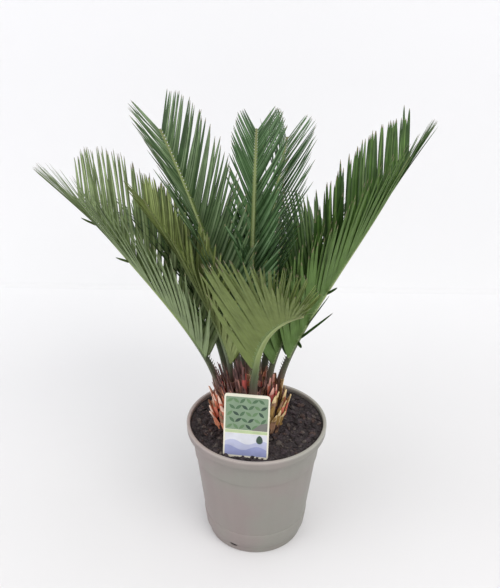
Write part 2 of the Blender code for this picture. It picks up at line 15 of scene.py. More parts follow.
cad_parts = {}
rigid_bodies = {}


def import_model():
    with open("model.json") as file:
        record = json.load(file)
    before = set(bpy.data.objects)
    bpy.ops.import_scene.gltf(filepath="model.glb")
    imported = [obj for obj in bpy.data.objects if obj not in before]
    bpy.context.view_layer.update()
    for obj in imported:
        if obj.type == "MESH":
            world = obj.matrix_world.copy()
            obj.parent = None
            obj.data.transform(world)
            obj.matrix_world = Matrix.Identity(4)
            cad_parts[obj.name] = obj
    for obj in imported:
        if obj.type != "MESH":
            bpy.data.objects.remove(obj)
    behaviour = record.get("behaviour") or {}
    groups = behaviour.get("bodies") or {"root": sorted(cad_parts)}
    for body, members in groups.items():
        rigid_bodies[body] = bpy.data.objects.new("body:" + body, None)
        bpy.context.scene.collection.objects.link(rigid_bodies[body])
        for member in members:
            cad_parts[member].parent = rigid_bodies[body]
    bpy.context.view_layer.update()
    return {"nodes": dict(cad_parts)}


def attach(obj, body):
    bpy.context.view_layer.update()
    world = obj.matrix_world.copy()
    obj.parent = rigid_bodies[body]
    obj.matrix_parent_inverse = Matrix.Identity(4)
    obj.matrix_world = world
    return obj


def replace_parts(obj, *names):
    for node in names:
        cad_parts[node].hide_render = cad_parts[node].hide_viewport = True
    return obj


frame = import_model()
SEED = 23


def palette(*colours):
    """Linear colours of display ones, each with its red, green and blue from 0 to 255."""
    return [
        tuple(((v / 255.0 + 0.055) / 1.055) ** 2.4 if v > 10 else v / 255.0 / 12.92 for v in colour)
        for colour in colours
    ]


# Camera of the photograph, fitted to the pot, and how much its inset picture is enlarged
CAMERA_PLACE = (0.0, -0.8114, 0.7548)
CAMERA_PITCH = 25.6
CAMERA_YAW = -0.74
CAMERA_ROLL = 0.5
CAMERA_CLIP = (0.05, 30.0)
PHOTO_FOCAL = 300.0
ENLARGED = 2.4
FRAME_HEIGHT = 588.0
SENSOR = 36.0

# Room: pale floor that turns up into a wall, with the world and its lamps
FLOOR_HALF = 4.0
WALL_DISTANCE = 0.79
WALL_BEND = 0.012
WALL_HEIGHT = 3.0
# painted shade: the floor is coloured darker around the pot and grows lighter towards the wall's foot
SHADED_FLOOR_COLOUR, WALL_FOOT_COLOUR, WALL_COLOUR = palette((226, 225, 226), (240, 240, 241), (234, 234, 236))
FLOOR_SHADE_FADE = (0.05, 0.78)
WALL_FADE = 0.5
JOINT_WIDTH = 0.014
JOINT_SHADE = 0.90
WORLD_COLOUR = (0.99, 0.99, 1.0)
WORLD_STRENGTH = 0.88
LAMP_SIZE = 1.6
LAMP_AIM = (0.0, 0.0, 0.25)
LAMPS = {
    # place, watts and colour
    "key": ((1.0, -1.4, 2.2), 26.0, (1.0, 0.985, 0.96)),
    "fill": ((-1.4, -0.9, 1.4), 10.0, (0.98, 0.99, 1.0)),
}

# Sizes shared with the solids
PLANT_CENTRE = (-0.010, 0.0)
SOIL_LEVEL = 0.1725
CAUDEX_HEIGHT = 0.0545
CAUDEX_RADIUS = 0.051
CAUDEX_PROFILE = (
    (0.00, 0.90), (0.20, 0.98), (0.42, 1.00), (0.62, 0.93), (0.80, 0.74), (0.92, 0.48), (1.00, 0.16),
)
POT_HEIGHT = 0.178
POT_RIM_RADIUS = 0.095
POT_BASE_RADIUS = 0.068
POT_BODY_TOP_RADIUS = 0.0875
POT_WALL = 0.0022
POT_FLOOR = 0.0035
LIP_HEIGHT = 0.012
LIP_BAND = 0.0046
UPPER_STEP_HEIGHT = 0.131
FOOT_RING_HEIGHT = 0.036
FOOT_CHAMFER = 0.014
DRAIN_COUNT = 4
DRAIN_FIRST_AZIMUTH = 244.0
DRAIN_WIDTH = 0.0125
DRAIN_HEIGHT = 0.0085
DRAIN_CENTRE = 0.0108
TAG_WIDTH = 0.0575
TAG_THICKNESS = 0.0012
TAG_LEAN = 11.0
TAG_TURN = -7.0
TAG_FOOT = (-0.0137, -0.0770)
TAG_RISE = -0.0005

# Fronds: the rib and its leaflets, as in the solids, then the greens and the width of the blades
FROND_FIELDS = (
    "azimuth", "turn", "base_radius", "base_height", "rise", "bend", "length",
    "leaflets", "lift", "roll", "forward", "left_row", "petiole", "greens", "blade",
)
FRONDS = {
    "frond_far_left": (160, -30, 0.043, 0.214, (94, 24), 0.34, 0.345,
        1.10, 70, -8, (54, 28), 1.0, 0.15, "sage", 0.86),
    "frond_back_left": (134, -2, 0.022, 0.236, (95, 50), 0.40, 0.348,
        0.86, 66, -20, (54, 35), 1.0, 0.20, "grey", 0.94),
    "frond_far_right": (26, 34, 0.043, 0.215, (96, 34), 0.32, 0.380,
        1.02, 70, -6, (46, 22), 1.0, 0.13, "deep", 1.14),
    "frond_back_centre": (88, 1, 0.012, 0.240, (95, 28), 1.00, 0.354,
        0.67, 66, 4, (60, 42), 0.84, 0.20, "teal", 1.14),
    "frond_back_right": (71, 8, 0.029, 0.233, (90, 30), 1.20, 0.342,
        0.76, 58, 14, (46, 26), 1.0, 0.20, "teal", 0.57),
    "frond_front": (-78, 16, 0.024, 0.228, (95, 31), 0.50, 0.250,
        1.21, 78, 36, (42, 18), 0.62, 0.21, "young", 0.92),
    "frond_middle_left": (168, -34, 0.024, 0.232, (96, 42), 0.50, 0.275,
        0.62, 66, -14, (40, 24), 1.0, 0.11, "olive", 0.92),
    "frond_middle_right": (32, 10, 0.030, 0.222, (96, 30), 0.45, 0.290,
        0.82, 66, -10, (54, 28), 1.0, 0.12, "deep", 0.92),
    "frond_rear_left": (134, 0, 0.041, 0.213, (78, -10), 1.00, 0.315,
        0.90, 55, 0, (62, 27), 1.0, 0.20, "deep", 0.90),
    "frond_rear": (100, 0, 0.040, 0.213, (76, -18), 1.00, 0.320,
        0.90, 50, 0, (62, 27), 1.0, 0.20, "teal", 0.90),
    "frond_rear_right": (66, 0, 0.042, 0.213, (78, -14), 1.00, 0.310,
        0.90, 50, 0, (62, 27), 1.0, 0.20, "deep", 0.90),
}
TURN_POWER = 1.5
RIB_BASE_WIDTH = 0.0128
RIB_WIDTH = 0.0084
RIB_TIP_WIDTH = 0.0030
PETIOLE_TAPER = 1.5
RIB_TAPER = 1.5
LEAFLET_LENGTH = 0.135
LEAFLET_PROFILE = (0.19, 0.88)
LEAFLET_PROFILE_POWER = 0.75
LEAFLET_TIP_FLATTER = 0.4

# Ribs: sides and stations of the mesh, flattening of its upper side, and the petiole's spines
RIB_SIDES = 12
RIB_STATIONS = 64
RIB_CHANNEL = (0.62, 0.18)
RIB_FLATTER = 0.92
SPINE_PAIRS = 7
SPINE_LENGTH = (0.0035, 0.0065)
SPINE_HEADING = (0.62, 0.62, 0.45)
SPINE_TAPER = ((0.0, 0.0009), (0.5, 0.0006), (1.0, 0.0001))
RIB_BANDS = tuple(zip((0.00, 0.04, 0.09, 0.17, 0.24, 0.36, 0.80, 1.00), palette(
    (112, 82, 68), (104, 88, 78), (90, 92, 74), (94, 106, 76),
    (112, 128, 84), (140, 156, 98), (148, 162, 104), (126, 130, 84),
)))

# Leaflets that stand out of their row: share of the rib, side, forward and lift angles, length
STRAYS = {
    "frond_far_left": ((0.84, 1, 40, 6, 0.023), (0.63, 1, 50, 10, 0.019)),
    "frond_far_right": (
        (0.21, -1, 35, 10, 0.065), (0.26, -1, 38, 38, 0.064), (0.19, -1, 90, 20, 0.021),
        (0.39, -1, 50, 20, 0.020), (0.96, 1, 25, 36, 0.095), (0.98, 1, 19, 36, 0.090),
    ),
}
STRAY_WIDTH = 0.9

# Fine leaflets. Pairs of values are the range of a random draw, or a start and a change.
LEAFLET_PITCH = 0.0050
LEAFLET_STAGGER = (0.25, 0.12)
LEAFLET_WANDER = (1.3, 1.9)
LEAFLET_SPREAD = (0.955, 1.02)
LEAFLET_WIDTH = 0.0059
WIDTH_SPREAD = (0.92, 1.04)
WIDTH_BY_LENGTH = (0.80, 0.20)
BLADE_TAPER = (1.32, 0.68)
LEAFLET_SEAT = (0.34, 0.18)
LEAFLET_SWEEP = (0.02, 0.10)
LEAFLET_DROOP = (-0.10, 0.05)
LEAFLET_TWIST = (-9.0, 9.0)
LEAFLET_STATIONS = (0.0, 0.035, 0.10, 0.22, 0.36, 0.50, 0.64, 0.77, 0.88, 0.955, 1.0)
LEAFLET_WIDTHS = (0.80, 0.90, 1.0, 1.0, 0.98, 0.93, 0.84, 0.70, 0.51, 0.29, 0.05)
# across and through the blade, as shares of its half width: the four upper faces, then the underside
LEAFLET_SECTION = (
    (-1.0, -0.24), (-0.55, 0.04), (0.0, -0.12), (0.55, 0.04),
    (1.0, -0.24), (0.46, -0.24), (0.0, -0.44), (-0.46, -0.24),
)
UPPER_FACES = 4
# upper green of each leaflet's centre, dealt one by one: lighter and darker copies of one green as painted
# light and shade
UPPER_SLOTS = (0, 0, 1, 1, 2)
SHADED_GREEN, UNDERSIDE, FOOT, TIP = 2, 3, 4, 5

# Room that a leaflet keeps from other fronds, and what it tries in turn: forward, lift, share of length
LEAFLET_CLEARANCE = 0.0002
LEAFLET_ROOT_REACH = 0.0014
LEAFLET_TIP_REACH = 0.0005
RIB_CONES = 20
LEAFLET_CHOICES = (
    (0, 0, 1.0), (0, 7, 1.0), (0, -7, 1.0), (-7, 0, 1.0), (8, 5, 0.97), (-12, 8, 0.95),
    (0, 15, 0.92), (0, -15, 0.92), (0, 0, 0.84), (8, 18, 0.80), (0, 8, 0.68), (0, -8, 0.60),
)
GREENS = {
    # upper side twice, its darker margins, underside; the upper greens are painted light and shade: leaflets
    # are dealt lighter and darker copies, and the darker margin green is painted shade
    "grey": palette((100, 122, 84), (124, 144, 108), (64, 86, 54), (102, 122, 88)),
    "teal": palette((84, 114, 74), (108, 136, 98), (54, 80, 46), (92, 116, 80)),
    "deep": palette((70, 100, 42), (96, 124, 64), (50, 78, 30), (86, 112, 58)),
    "sage": palette((122, 140, 92), (142, 158, 114), (94, 110, 66), (120, 136, 96)),
    "olive": palette((122, 136, 76), (144, 158, 96), (90, 102, 52), (126, 138, 86)),
    "young": palette((116, 132, 72), (132, 148, 90), (90, 104, 50), (112, 126, 72)),
}
LEAFLET_FINISHES = (
    # part, its shades, size of their noise, roughness, bump and its noise, specular
    *((part, (0.80, 1.0, 1.25), 60.0, (0.34, 0.50), 0.12, 700.0, 0.28) for part in (0, 1, 2)),
    ("under", (0.82, 1.0, 1.12), 60.0, (0.55, 0.70), 0.15, 900.0, 0.2),
    ("base", (0.8, 1.05), 80.0, (0.45, 0.60), 0.0, None, 0.4),
    ("tip", (0.8, 1.15), 80.0, (0.50, 0.66), 0.0, None, 0.3),
)
LEAFLET_END_COLOURS = palette((116, 136, 82), (118, 112, 84))

# Trunk: sections of a bract along and across
SCALE_STATIONS = (0.0, 0.14, 0.30, 0.48, 0.66, 0.82, 0.93, 1.0)
SCALE_POINTED = (0.80, 0.96, 1.0, 0.94, 0.76, 0.50, 0.28, 0.07)
SCALE_BLUNT = (0.86, 0.97, 1.0, 0.98, 0.90, 0.72, 0.50, 0.18)
SCALE_SECTION = (
    (-1.0, -0.15), (-0.62, 0.42), (0.0, 0.78), (0.62, 0.42),
    (1.0, -0.15), (0.5, -0.28), (0.0, -0.34), (-0.5, -0.28),
)
SCALE_BEND_POWER = 1.6
SCALE_THINNER = 0.72
SCALE_TIP_GAP = 4
SCALE_COLOURS = {
    # each with its dark value
    "core": palette((62, 42, 36), (36, 24, 20)),
    "salmon": palette((236, 166, 138), (192, 114, 90)),
    "orange": palette((236, 152, 118), (186, 106, 80)),
    "pink": palette((228, 194, 176), (182, 142, 126)),
    "brick": palette((206, 120, 98), (152, 80, 64)),
    "crimson": palette((192, 94, 88), (138, 66, 64)),
    "brown": palette((150, 116, 92), (94, 70, 56)),
    "tan": palette((212, 188, 142), (152, 120, 74)),
    "ochre": palette((146, 116, 66), (94, 70, 38)),
    "mauve": palette((206, 154, 140), (148, 104, 96)),
    "dusk": palette((116, 86, 82), (72, 54, 54)),
}
SCALE_SLOT = {name: slot for slot, name in enumerate(SCALE_COLOURS)}

# The trunk's core, a little inside the solid
CORE_STEPS = 24
CORE_SIDES = 56
CORE_INSET = 0.004
CORE_SINK = 0.002
CORE_RELIEF = (0.0018, 160.0)

# Leaf bases: their number, share of the height, lean left and elsewhere, and sizes
LEAF_BASES = 104
LEAF_BASE_RISE = (0.03, 0.84, 0.85)
LEAF_BASE_LEANS = (21.0, 16.0)
LEAF_BASE_INWARD = (0.0050, 0.0072)
LEAF_BASE_SINK = 0.004
LEAF_BASE_LENGTH = (0.025, 0.035)
LEAF_BASE_WIDTH = (0.0090, 0.0140)
LEAF_BASE_DEPTH = 0.0050
LEAF_BASE_CURL = (-0.05, 0.22)
LEAF_BASE_BLUNT = (0.35, 0.95)
SEAT_ROOM = 0.011
SHORTER_AT_SEAT = 0.62
GOLDEN_ANGLE = math.radians(137.508)
LEFT_SIDE = (148.0, 262.0)
LEFT_LEANING = (148.0, 250.0)
RIGHT_SIDE = (50.0, 296.0)
HIGH_SHARE = 0.72

# Collars of the live fronds, and the bracts that each one carries
COLLAR_SIDES = 14
COLLAR_DROP = 0.013
COLLAR_HEART = 0.45
COLLAR_OVAL = (1.08, 0.92)
COLLAR_BRACTS = 7
COLLAR_BRACT_LENGTH = (0.013, 0.022)
COLLAR_BRACT_SIZE = (0.0080, 0.0024)

# Awls of the crown
AWL_REACH = 0.036
AWL_ROOM = 0.0078
AWL_SINK = 0.012
AWL_WIDTH = (0.0058, 0.0090)
AWL_DEPTH = 0.0026
AWL_GROUPS = (
    # middle, spread, count and lengths
    (PLANT_CENTRE, 0.034, 46, (0.028, 0.056)),
    ((-0.026, -0.004), 0.018, 40, (0.050, 0.080)),
)

# Pot: its mesh, the drain cutters and its greys
POT_STEPS = 144
POT_SMOOTH_ANGLE = 32.0
LIP_ROLL = 0.0016
FOOT_ROLL = 0.0015
DRAIN_CUT_DEPTH = 0.016
DRAIN_CUT_INSET = 0.002
POT_PINKISH, POT_GREENISH, POT_DUST, BLACK, WHITE = palette(
    (142, 132, 129), (139, 137, 130), (118, 106, 98), (0, 0, 0), (255, 255, 255),
)
POT_DRIFT_ACROSS = 2.2

# Compost: its crumbly surface, with the height and fineness of each relief, and the bark chips
SOIL_EDGE = POT_RIM_RADIUS - LIP_BAND - 0.0004
SOIL_RINGS = 46
SOIL_SIDES = 150
SOIL_RELIEF = ((0.0016, 90.0), (0.0011, 260.0), (0.0007, 700.0))
SOIL_DISH = -0.0016
SOIL_MIDDLE = 0.001
SOIL_RISE = 0.0014
SOIL_SKIRT = 0.0022
CHIP_COUNT = 1150
CHIP_SIDES = 6
CHIP_RISE = 0.0018
CHIP_TILT = 0.35
CHIP_SLOTS = (0, 0, 1, 1, 2, 3)
BARKS = {
    "bark_black": palette((40, 35, 36), (58, 52, 53)),
    "bark_purple": palette((54, 46, 50), (76, 67, 70)),
    "bark_red": palette((68, 54, 52), (92, 76, 72)),
    "bark_brown": palette((74, 67, 64), (100, 92, 88)),
}

# Care card: its print, with the leaf pattern's first place and pitch, and its inks by slot
INK_STEP = 0.00004
PRINT_HALF = TAG_WIDTH / 2 - 0.0020
PATTERN_ROWS = 5
PATTERN_COLUMNS = 6
PATTERN_PLACE = (0.0052, 0.0430)
PATTERN_PITCH = (0.0080, 0.0087)
PATTERN_SHIFT = 0.0030
PATTERN_LEAF = (0.0098, 0.0040)
WAVE_STEPS = 16
INKS = palette(
    (122, 143, 118), (72, 102, 72), (94, 124, 86), (48, 70, 56), (112, 112, 107), (178, 194, 150),
    (206, 208, 216), (174, 178, 204), (144, 150, 190),
)


def level(azimuth, radius=1.0):
    """Level vector of this length at an azimuth in radians."""
    return Vector((radius * math.cos(azimuth), radius * math.sin(azimuth), 0.0))


def leaning(out, degrees):
    """Upright direction that leans outwards by some degrees."""
    lean = math.radians(degrees)
    return Vector((0.0, 0.0, math.cos(lean))) + out * math.sin(lean)


def around(count):
    """Angles of a full turn in equal steps."""
    return [math.tau * index / count for index in range(count)]


def blend(ends, share):
    """Value between two ends at a share of the way."""
    return ends[0] + (ends[1] - ends[0]) * share


def shaded(colour, factor):
    """The colour made darker or lighter."""
    return tuple(min(1.0, value * factor) for value in colour)


def shades(colour, *factors):
    """Several shades of one colour."""
    return tuple(shaded(colour, factor) for factor in factors)


def into_scene(item):
    """Link an object into the scene."""
    bpy.context.scene.collection.objects.link(item)
    return item


def add_piece(name, mesh):
    """Link a mesh as a piece that rides on the one body."""
    piece = into_scene(bpy.data.objects.new(name, mesh))
    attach(piece, "root")
    return piece


def mesh_from(bm, name):
    """New mesh from a bmesh, which is freed."""
    mesh = bpy.data.meshes.new(name)
    bm.to_mesh(mesh)
    bm.free()
    return mesh


class Shapes:
    """Points and faces gathered for one joined mesh, each face with its material slot."""

    def __init__(self):
        self.points = []
        self.faces = []
        self.slots = []

    def skin(self, rings, slots):
        """Join closed rings of points and cap both ends; slots is one slot or gives each gap's and side's."""
        slot_of = slots if callable(slots) else lambda gap, side: slots
        start = len(self.points)
        count = len(rings[0])
        for ring in rings:
            self.points.extend(ring)
        for gap in range(len(rings) - 1):
            low = start + gap * count
            for side in range(count):
                after = (side + 1) % count
                self.faces.append((low + side, low + after, low + count + after, low + count + side))
                self.slots.append(slot_of(gap, side))
        self.faces.append(tuple(range(start + count - 1, start - 1, -1)))
        self.slots.append(slot_of(0, 0))
        last = start + (len(rings) - 1) * count
        self.faces.append(tuple(range(last, last + count)))
        self.slots.append(slot_of(len(rings) - 2, 0))

    def make(self, name, materials, slot_name, smooth_angle=50.0):
        """Turn what was gathered into a piece that rides on the plant."""
        mesh = bpy.data.meshes.new(name)
        mesh.from_pydata(self.points, [], self.faces)
        for material in materials:
            mesh.materials.append(material)
        mesh.polygons.foreach_set("material_index", self.slots)
        bm = bmesh.new()
        bm.from_mesh(mesh)
        bmesh.ops.recalc_face_normals(bm, faces=bm.faces)
        bm.to_mesh(mesh)
        bm.free()
        mesh.shade_smooth()
        mesh.set_sharp_from_angle(angle=math.radians(smooth_angle))
        return add_piece(name, mesh)


class Paint:
    """Principled material built node by node. Most calls return an output that later ones take."""

    def __init__(self, name, specular):
        self.material = bpy.data.materials.new(name)
        self.material.use_nodes = True
        self.nodes = self.material.node_tree.nodes
        self.shader = self.nodes["Principled BSDF"]
        self.feed(self.shader, "Specular IOR Level", specular)
        self.coordinates = self.add("TexCoord").outputs

    def feed(self, node, socket, value):
        """Give an input a plain value, or link it to an output."""
        if isinstance(value, bpy.types.NodeSocket):
            self.material.node_tree.links.new(value, node.inputs[socket])
        else:
            node.inputs[socket].default_value = value

    def add(self, kind, inputs=None, **settings):
        """New node of a kind with these settings, its inputs given by name or by number."""
        node = self.nodes.new("ShaderNode" + kind)
        for name, value in settings.items():
            setattr(node, name, value)
        for socket, value in (inputs or {}).items():
            self.feed(node, socket, value)
        return node

    def axes(self, coordinates):
        """Outputs X, Y and Z of one of the texture coordinates."""
        return self.add("SeparateXYZ", {"Vector": self.coordinates[coordinates]}).outputs

    def noise(self, scale, detail=3.0, stretch=None):
        """Noise on the object's own coordinates, in features per metre."""
        place = self.coordinates["Object"]
        if stretch:
            place = self.add("Mapping", {"Vector": place, "Scale": stretch}).outputs["Vector"]
        return self.add("TexNoise", {"Vector": place, "Scale": scale, "Detail": detail}).outputs["Fac"]

    def ranged(self, value, low, high, start=0.0, end=1.0):
        """The value from start to end mapped to low to high, and kept there."""
        ends = {"From Min": start, "From Max": end, "To Min": low, "To Max": high}
        return self.add("MapRange", {"Value": value, **ends}).outputs["Result"]

    def ramp(self, value, stops):
        """Colour that passes through (place, colour) stops."""
        node = self.add("ValToRGB", {"Fac": value})
        elements = node.color_ramp.elements
        while len(elements) < len(stops):
            elements.new(0.5)
        for element, (place, colour) in zip(elements, stops):
            element.position = place
            element.color = (*colour, 1.0)
        return node.outputs["Color"]

    def wandering(self, colours, scale, stretch=None):
        """Colour that wanders through a few values, spread over the middle of a noise."""
        last = len(colours) - 1
        stops = [(0.32 + 0.36 * index / last, colour) for index, colour in enumerate(colours)]
        return self.ramp(self.noise(scale, stretch=stretch), stops)

    def maths(self, operation, *values):
        """Result of one sum."""
        return self.add("Math", dict(enumerate(values)), operation=operation).outputs["Value"]

    def scaled(self, colour, factor):
        """Colour times a factor."""
        return self.add("VectorMath", {0: colour, "Scale": factor}, operation="SCALE").outputs["Vector"]

    def mixed(self, share, first, second):
        """Mix of a colour with a plain one."""
        return self.add("Mix", {0: share, 6: first, 7: (*second, 1.0)}, data_type="RGBA").outputs[2]

    def finish(self, colour, grain, roughness, bump=0.0, depth=0.0006):
        """Give the shader its colour, and from a noise its range of roughness and its relief."""
        self.feed(self.shader, "Base Color", colour)
        self.feed(self.shader, "Roughness", self.ranged(grain, *roughness))
        if bump:
            relief = self.add("Bump", {"Strength": bump, "Distance": depth, "Height": grain})
            self.feed(self.shader, "Normal", relief.outputs["Normal"])
        return self.material


def make_material(name, colours, scale, roughness, bump=0.0, bump_scale=None, specular=0.5, stretch=None):
    """Material whose colour wanders through a few values, with roughness and bump from a finer noise."""
    paint = Paint(name, specular)
    colour = paint.wandering(colours, scale, stretch)
    grain = paint.noise(bump_scale or scale * 4, stretch=stretch)
    paint.material.diffuse_color = (*colours[0], 1.0)
    return paint.finish(colour, grain, roughness, bump)


class Rib:
    """Rib of one frond: an arc that starts on the caudex and bends over as it goes out."""

    SAMPLES = 120

    def __init__(self, values):
        for field, value in zip(FROND_FIELDS, values):
            setattr(self, field, value)
        self.azimuth, self.turn, *self.rise = map(math.radians, (self.azimuth, self.turn, *self.rise))
        self.points = [Vector((*PLANT_CENTRE, self.base_height)) + level(self.azimuth) * self.base_radius]
        step = self.length / self.SAMPLES
        for index in range(self.SAMPLES):
            self.points.append(self.points[-1] + self.direction((index + 0.5) / self.SAMPLES) * step)

    def heading(self, share):
        """Azimuth in radians at a share of the length."""
        return self.azimuth + self.turn * share ** TURN_POWER

    def direction(self, share):
        """Unit tangent at a share of the length."""
        rise, azimuth = blend(self.rise, share ** self.bend), self.heading(share)
        out = math.cos(rise)
        return Vector((out * math.cos(azimuth), out * math.sin(azimuth), math.sin(rise)))

    def point(self, share):
        """Point at a share of the length."""
        place = min(max(share, 0.0), 1.0) * self.SAMPLES
        index = min(int(place), self.SAMPLES - 1)
        return self.points[index].lerp(self.points[index + 1], place - index)

    def frame(self, share):
        """Tangent, left side and upper normal at a share of the length."""
        tangent = self.direction(share)
        azimuth = self.heading(share)
        level_side = Vector((-math.sin(azimuth), math.cos(azimuth), 0.0))
        normal = tangent.cross(level_side).normalized()
        return tangent, normal.cross(tangent).normalized(), normal

    def width(self, share):
        """Width of the rib: swollen foot, petiole, then a slow taper to the tip."""
        if share < self.petiole:
            return blend((RIB_WIDTH, RIB_BASE_WIDTH), (1.0 - share / self.petiole) ** PETIOLE_TAPER)
        outward = (share - self.petiole) / (1.0 - self.petiole)
        return blend((RIB_TIP_WIDTH, RIB_WIDTH), (1.0 - outward) ** RIB_TAPER)

    def flank(self, share, hand, aside, up):
        """Place on one side of the rib: aside in shares of its width, and up in metres."""
        tangent, side, normal = self.frame(share)
        return self.point(share) + side * (hand * self.width(share) * aside) + normal * up


def leaflet_length(outward):
    """Leaflets are short at both ends of the frond, more so at its tip, and longest before its middle."""
    return LEAFLET_LENGTH * math.sin(math.pi * blend(LEAFLET_PROFILE, outward)) ** LEAFLET_PROFILE_POWER


def blade_axes(axes, hand, forward, lift):
    """Heading and inner side of a blade, from its degrees forward along the rib and up from it."""
    tangent, side, normal = axes
    forward, lift = math.radians(forward), math.radians(lift)
    across = side * (hand * math.cos(lift)) + normal * math.sin(lift)
    inner = normal * math.cos(lift) - side * (hand * math.sin(lift))
    return tangent * math.cos(forward) + across * math.sin(forward), inner


class Clearance:
    """Round-ended cones that stand for ribs and leaflets, to keep each frond to its own space."""

    SHARES = np.linspace(0.0, 1.0, 40)[:, None]

    def __init__(self):
        self.rows = []
        self.owners = []

    def add(self, owner, start, end, start_radius, end_radius):
        self.rows.append((*start, *end, start_radius, end_radius))
        self.owners.append(owner)

    def others(self, owner):
        """The cones of every other frond."""
        return np.array([row for row, name in zip(self.rows, self.owners) if name != owner])

    def free(self, rows, start, end):
        """True where a leaflet's cone stays clear of these cones."""
        first = rows[:, 0:3]
        along = rows[:, 3:6] - first
        points = np.array(start) * (1.0 - self.SHARES) + np.array(end) * self.SHARES
        radii = LEAFLET_ROOT_REACH * (1.0 - self.SHARES) + LEAFLET_TIP_REACH * self.SHARES
        offset = points[:, None, :] - first
        place = np.clip((offset * along).sum(2) / (along ** 2).sum(1), 0.0, 1.0)
        distance = np.linalg.norm(offset - along * place[:, :, None], axis=2)
        others = rows[:, 6] * (1.0 - place) + rows[:, 7] * place
        return not np.any(distance < radii + others + LEAFLET_CLEARANCE)


def grow_leaflet(shapes, start, direction, inner, tangent, length, width, chance, upper_slot):
    """One stiff blade with a grooved upper side, rolled margins and a keel below."""
    sweep = tangent * chance.uniform(*LEAFLET_SWEEP)
    droop = inner * chance.uniform(*LEAFLET_DROOP)
    twist = math.radians(chance.uniform(*LEAFLET_TWIST))
    place = Vector(start)
    rings = []
    previous = 0.0
    for station, share in zip(LEAFLET_STATIONS, LEAFLET_WIDTHS):
        heading = (direction + sweep * (2 * station - 1) + droop * station).normalized()
        place = place + heading * (length * (station - previous))
        previous = station
        across = (tangent - heading * tangent.dot(heading)).normalized()
        through = heading.cross(across)
        if through.dot(inner) < 0.0:
            through = -through
        turn = twist * station
        wide = across * math.cos(turn) + through * math.sin(turn)
        deep = through * math.cos(turn) - across * math.sin(turn)
        half = width * share / 2
        rings.append([place + wide * (half * u) + deep * (half * v) for u, v in LEAFLET_SECTION])
    last = len(rings) - 2

    def slot_of(gap, side):
        if gap == 0:
            return FOOT
        if gap == last:
            return TIP
        if side >= UPPER_FACES:
            return UNDERSIDE
        # the margin faces take the darker green: painted shade beside a lighter centre
        return upper_slot if side in (1, 2) else SHADED_GREEN

    shapes.skin(rings, slot_of)


def build_leaflets(name, rib, clearance, materials):
    """All the leaflets of one frond as one mesh."""
    chance = random.Random(SEED + sum(map(ord, name)))
    shapes = Shapes()
    pairs = round(rib.length * (1.0 - rib.petiole) / LEAFLET_PITCH)
    others = clearance.others(name)
    made = []
    for index in range(pairs):
        outward = index / (pairs - 1)
        for hand in (1, -1):
            stagger = LEAFLET_STAGGER[0] + LEAFLET_STAGGER[1] * hand
            share = rib.petiole + (1.0 - rib.petiole) * (index + stagger) / pairs
            axes = rib.frame(share)
            start = rib.flank(share, hand, LEAFLET_SEAT[0], rib.width(share) * LEAFLET_SEAT[1])
            length = leaflet_length(outward) * rib.leaflets * chance.uniform(*LEAFLET_SPREAD)
            length *= rib.left_row if hand == 1 else 1.0
            forward_wander, lift_wander = [chance.gauss(0.0, spread) for spread in LEAFLET_WANDER]
            slimness = WIDTH_BY_LENGTH[0] + WIDTH_BY_LENGTH[1] * length / LEAFLET_LENGTH
            width = LEAFLET_WIDTH * chance.uniform(*WIDTH_SPREAD) * slimness
            width *= rib.blade * blend(BLADE_TAPER, outward)
            upper_slot = chance.choice(UPPER_SLOTS)
            forward = blend(rib.forward, outward)
            lift = rib.lift * (1.0 - LEAFLET_TIP_FLATTER * outward ** 2) + hand * rib.roll
            for more_forward, more_lift, share_of_length in LEAFLET_CHOICES:
                direction, inner = blade_axes(
                    axes, hand, forward + (more_forward + forward_wander), lift + (more_lift + lift_wander)
                )
                direction = direction.normalized()
                reach = length * share_of_length
                end = start + direction * reach
                if clearance.free(others, start, end):
                    grow_leaflet(shapes, start, direction, inner, axes[0], reach, width, chance, upper_slot)
                    made.append((start, end))
                    break
    for share, hand, forward, lift, length in STRAYS.get(name, ()):
        axes = rib.frame(share)
        direction, inner = blade_axes(axes, hand, forward, lift)
        start = rib.flank(share, hand, LEAFLET_SEAT[0], 0.0)
        end = start + direction * length
        if clearance.free(others, start, end):
            width = LEAFLET_WIDTH * STRAY_WIDTH
            # strays take the darker green all over: painted shade
            grow_leaflet(shapes, start, direction, inner, axes[0], length, width, chance, SHADED_GREEN)
            made.append((start, end))
    for start, end in made:
        clearance.add(name, start, end, LEAFLET_ROOT_REACH, LEAFLET_TIP_REACH)
    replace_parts(shapes.make(name + "_leaflets", materials, "frond_green"), name)


def rib_ring(rib, share):
    """Section of the rib: round below, flatter above with a shallow channel."""
    tangent, side, normal = rib.frame(share)
    half = rib.width(share) / 2
    centre = rib.point(share)
    ring = []
    for angle in around(RIB_SIDES):
        across, through = math.cos(angle), math.sin(angle)
        if through > 0.0:
            through *= RIB_CHANNEL[0] + RIB_CHANNEL[1] * abs(across)
        ring.append(centre + side * (half * across) + normal * (half * through * RIB_FLATTER))
    return ring


def build_rib(name, rib, material):
    """Petiole and rib with the short spines along the petiole's edges."""
    shapes = Shapes()
    stations = [index / RIB_STATIONS for index in range(RIB_STATIONS + 1)]
    shapes.skin([rib_ring(rib, share) for share in stations], 0)
    chance = random.Random(SEED * 3 + sum(map(ord, name)))
    forward, aside, up = SPINE_HEADING
    for index in range(SPINE_PAIRS):
        share = rib.petiole * (0.42 + 0.08 * index)
        tangent, side, normal = rib.frame(share)
        for hand in (1, -1):
            heading = (tangent * forward + side * hand * aside + normal * up).normalized()
            start = rib.flank(share, hand, 0.40, 0.0006)
            end = start + heading * (chance.uniform(*SPINE_LENGTH) * (0.7 + 0.09 * index))
            across = heading.cross(normal).normalized()
            through = heading.cross(across)
            rings = []
            for part, radius in SPINE_TAPER:
                place = start.lerp(end, part)
                rings.append([
                    place + across * (radius * math.cos(angle)) + through * (radius * math.sin(angle))
                    for angle in around(5)
                ])
            shapes.skin(rings, 0)
    piece = shapes.make(name + "_rib", [material], "frond_green", 70.0)
    map_along(piece.data, stations, rib.petiole)
    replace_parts(piece, name)


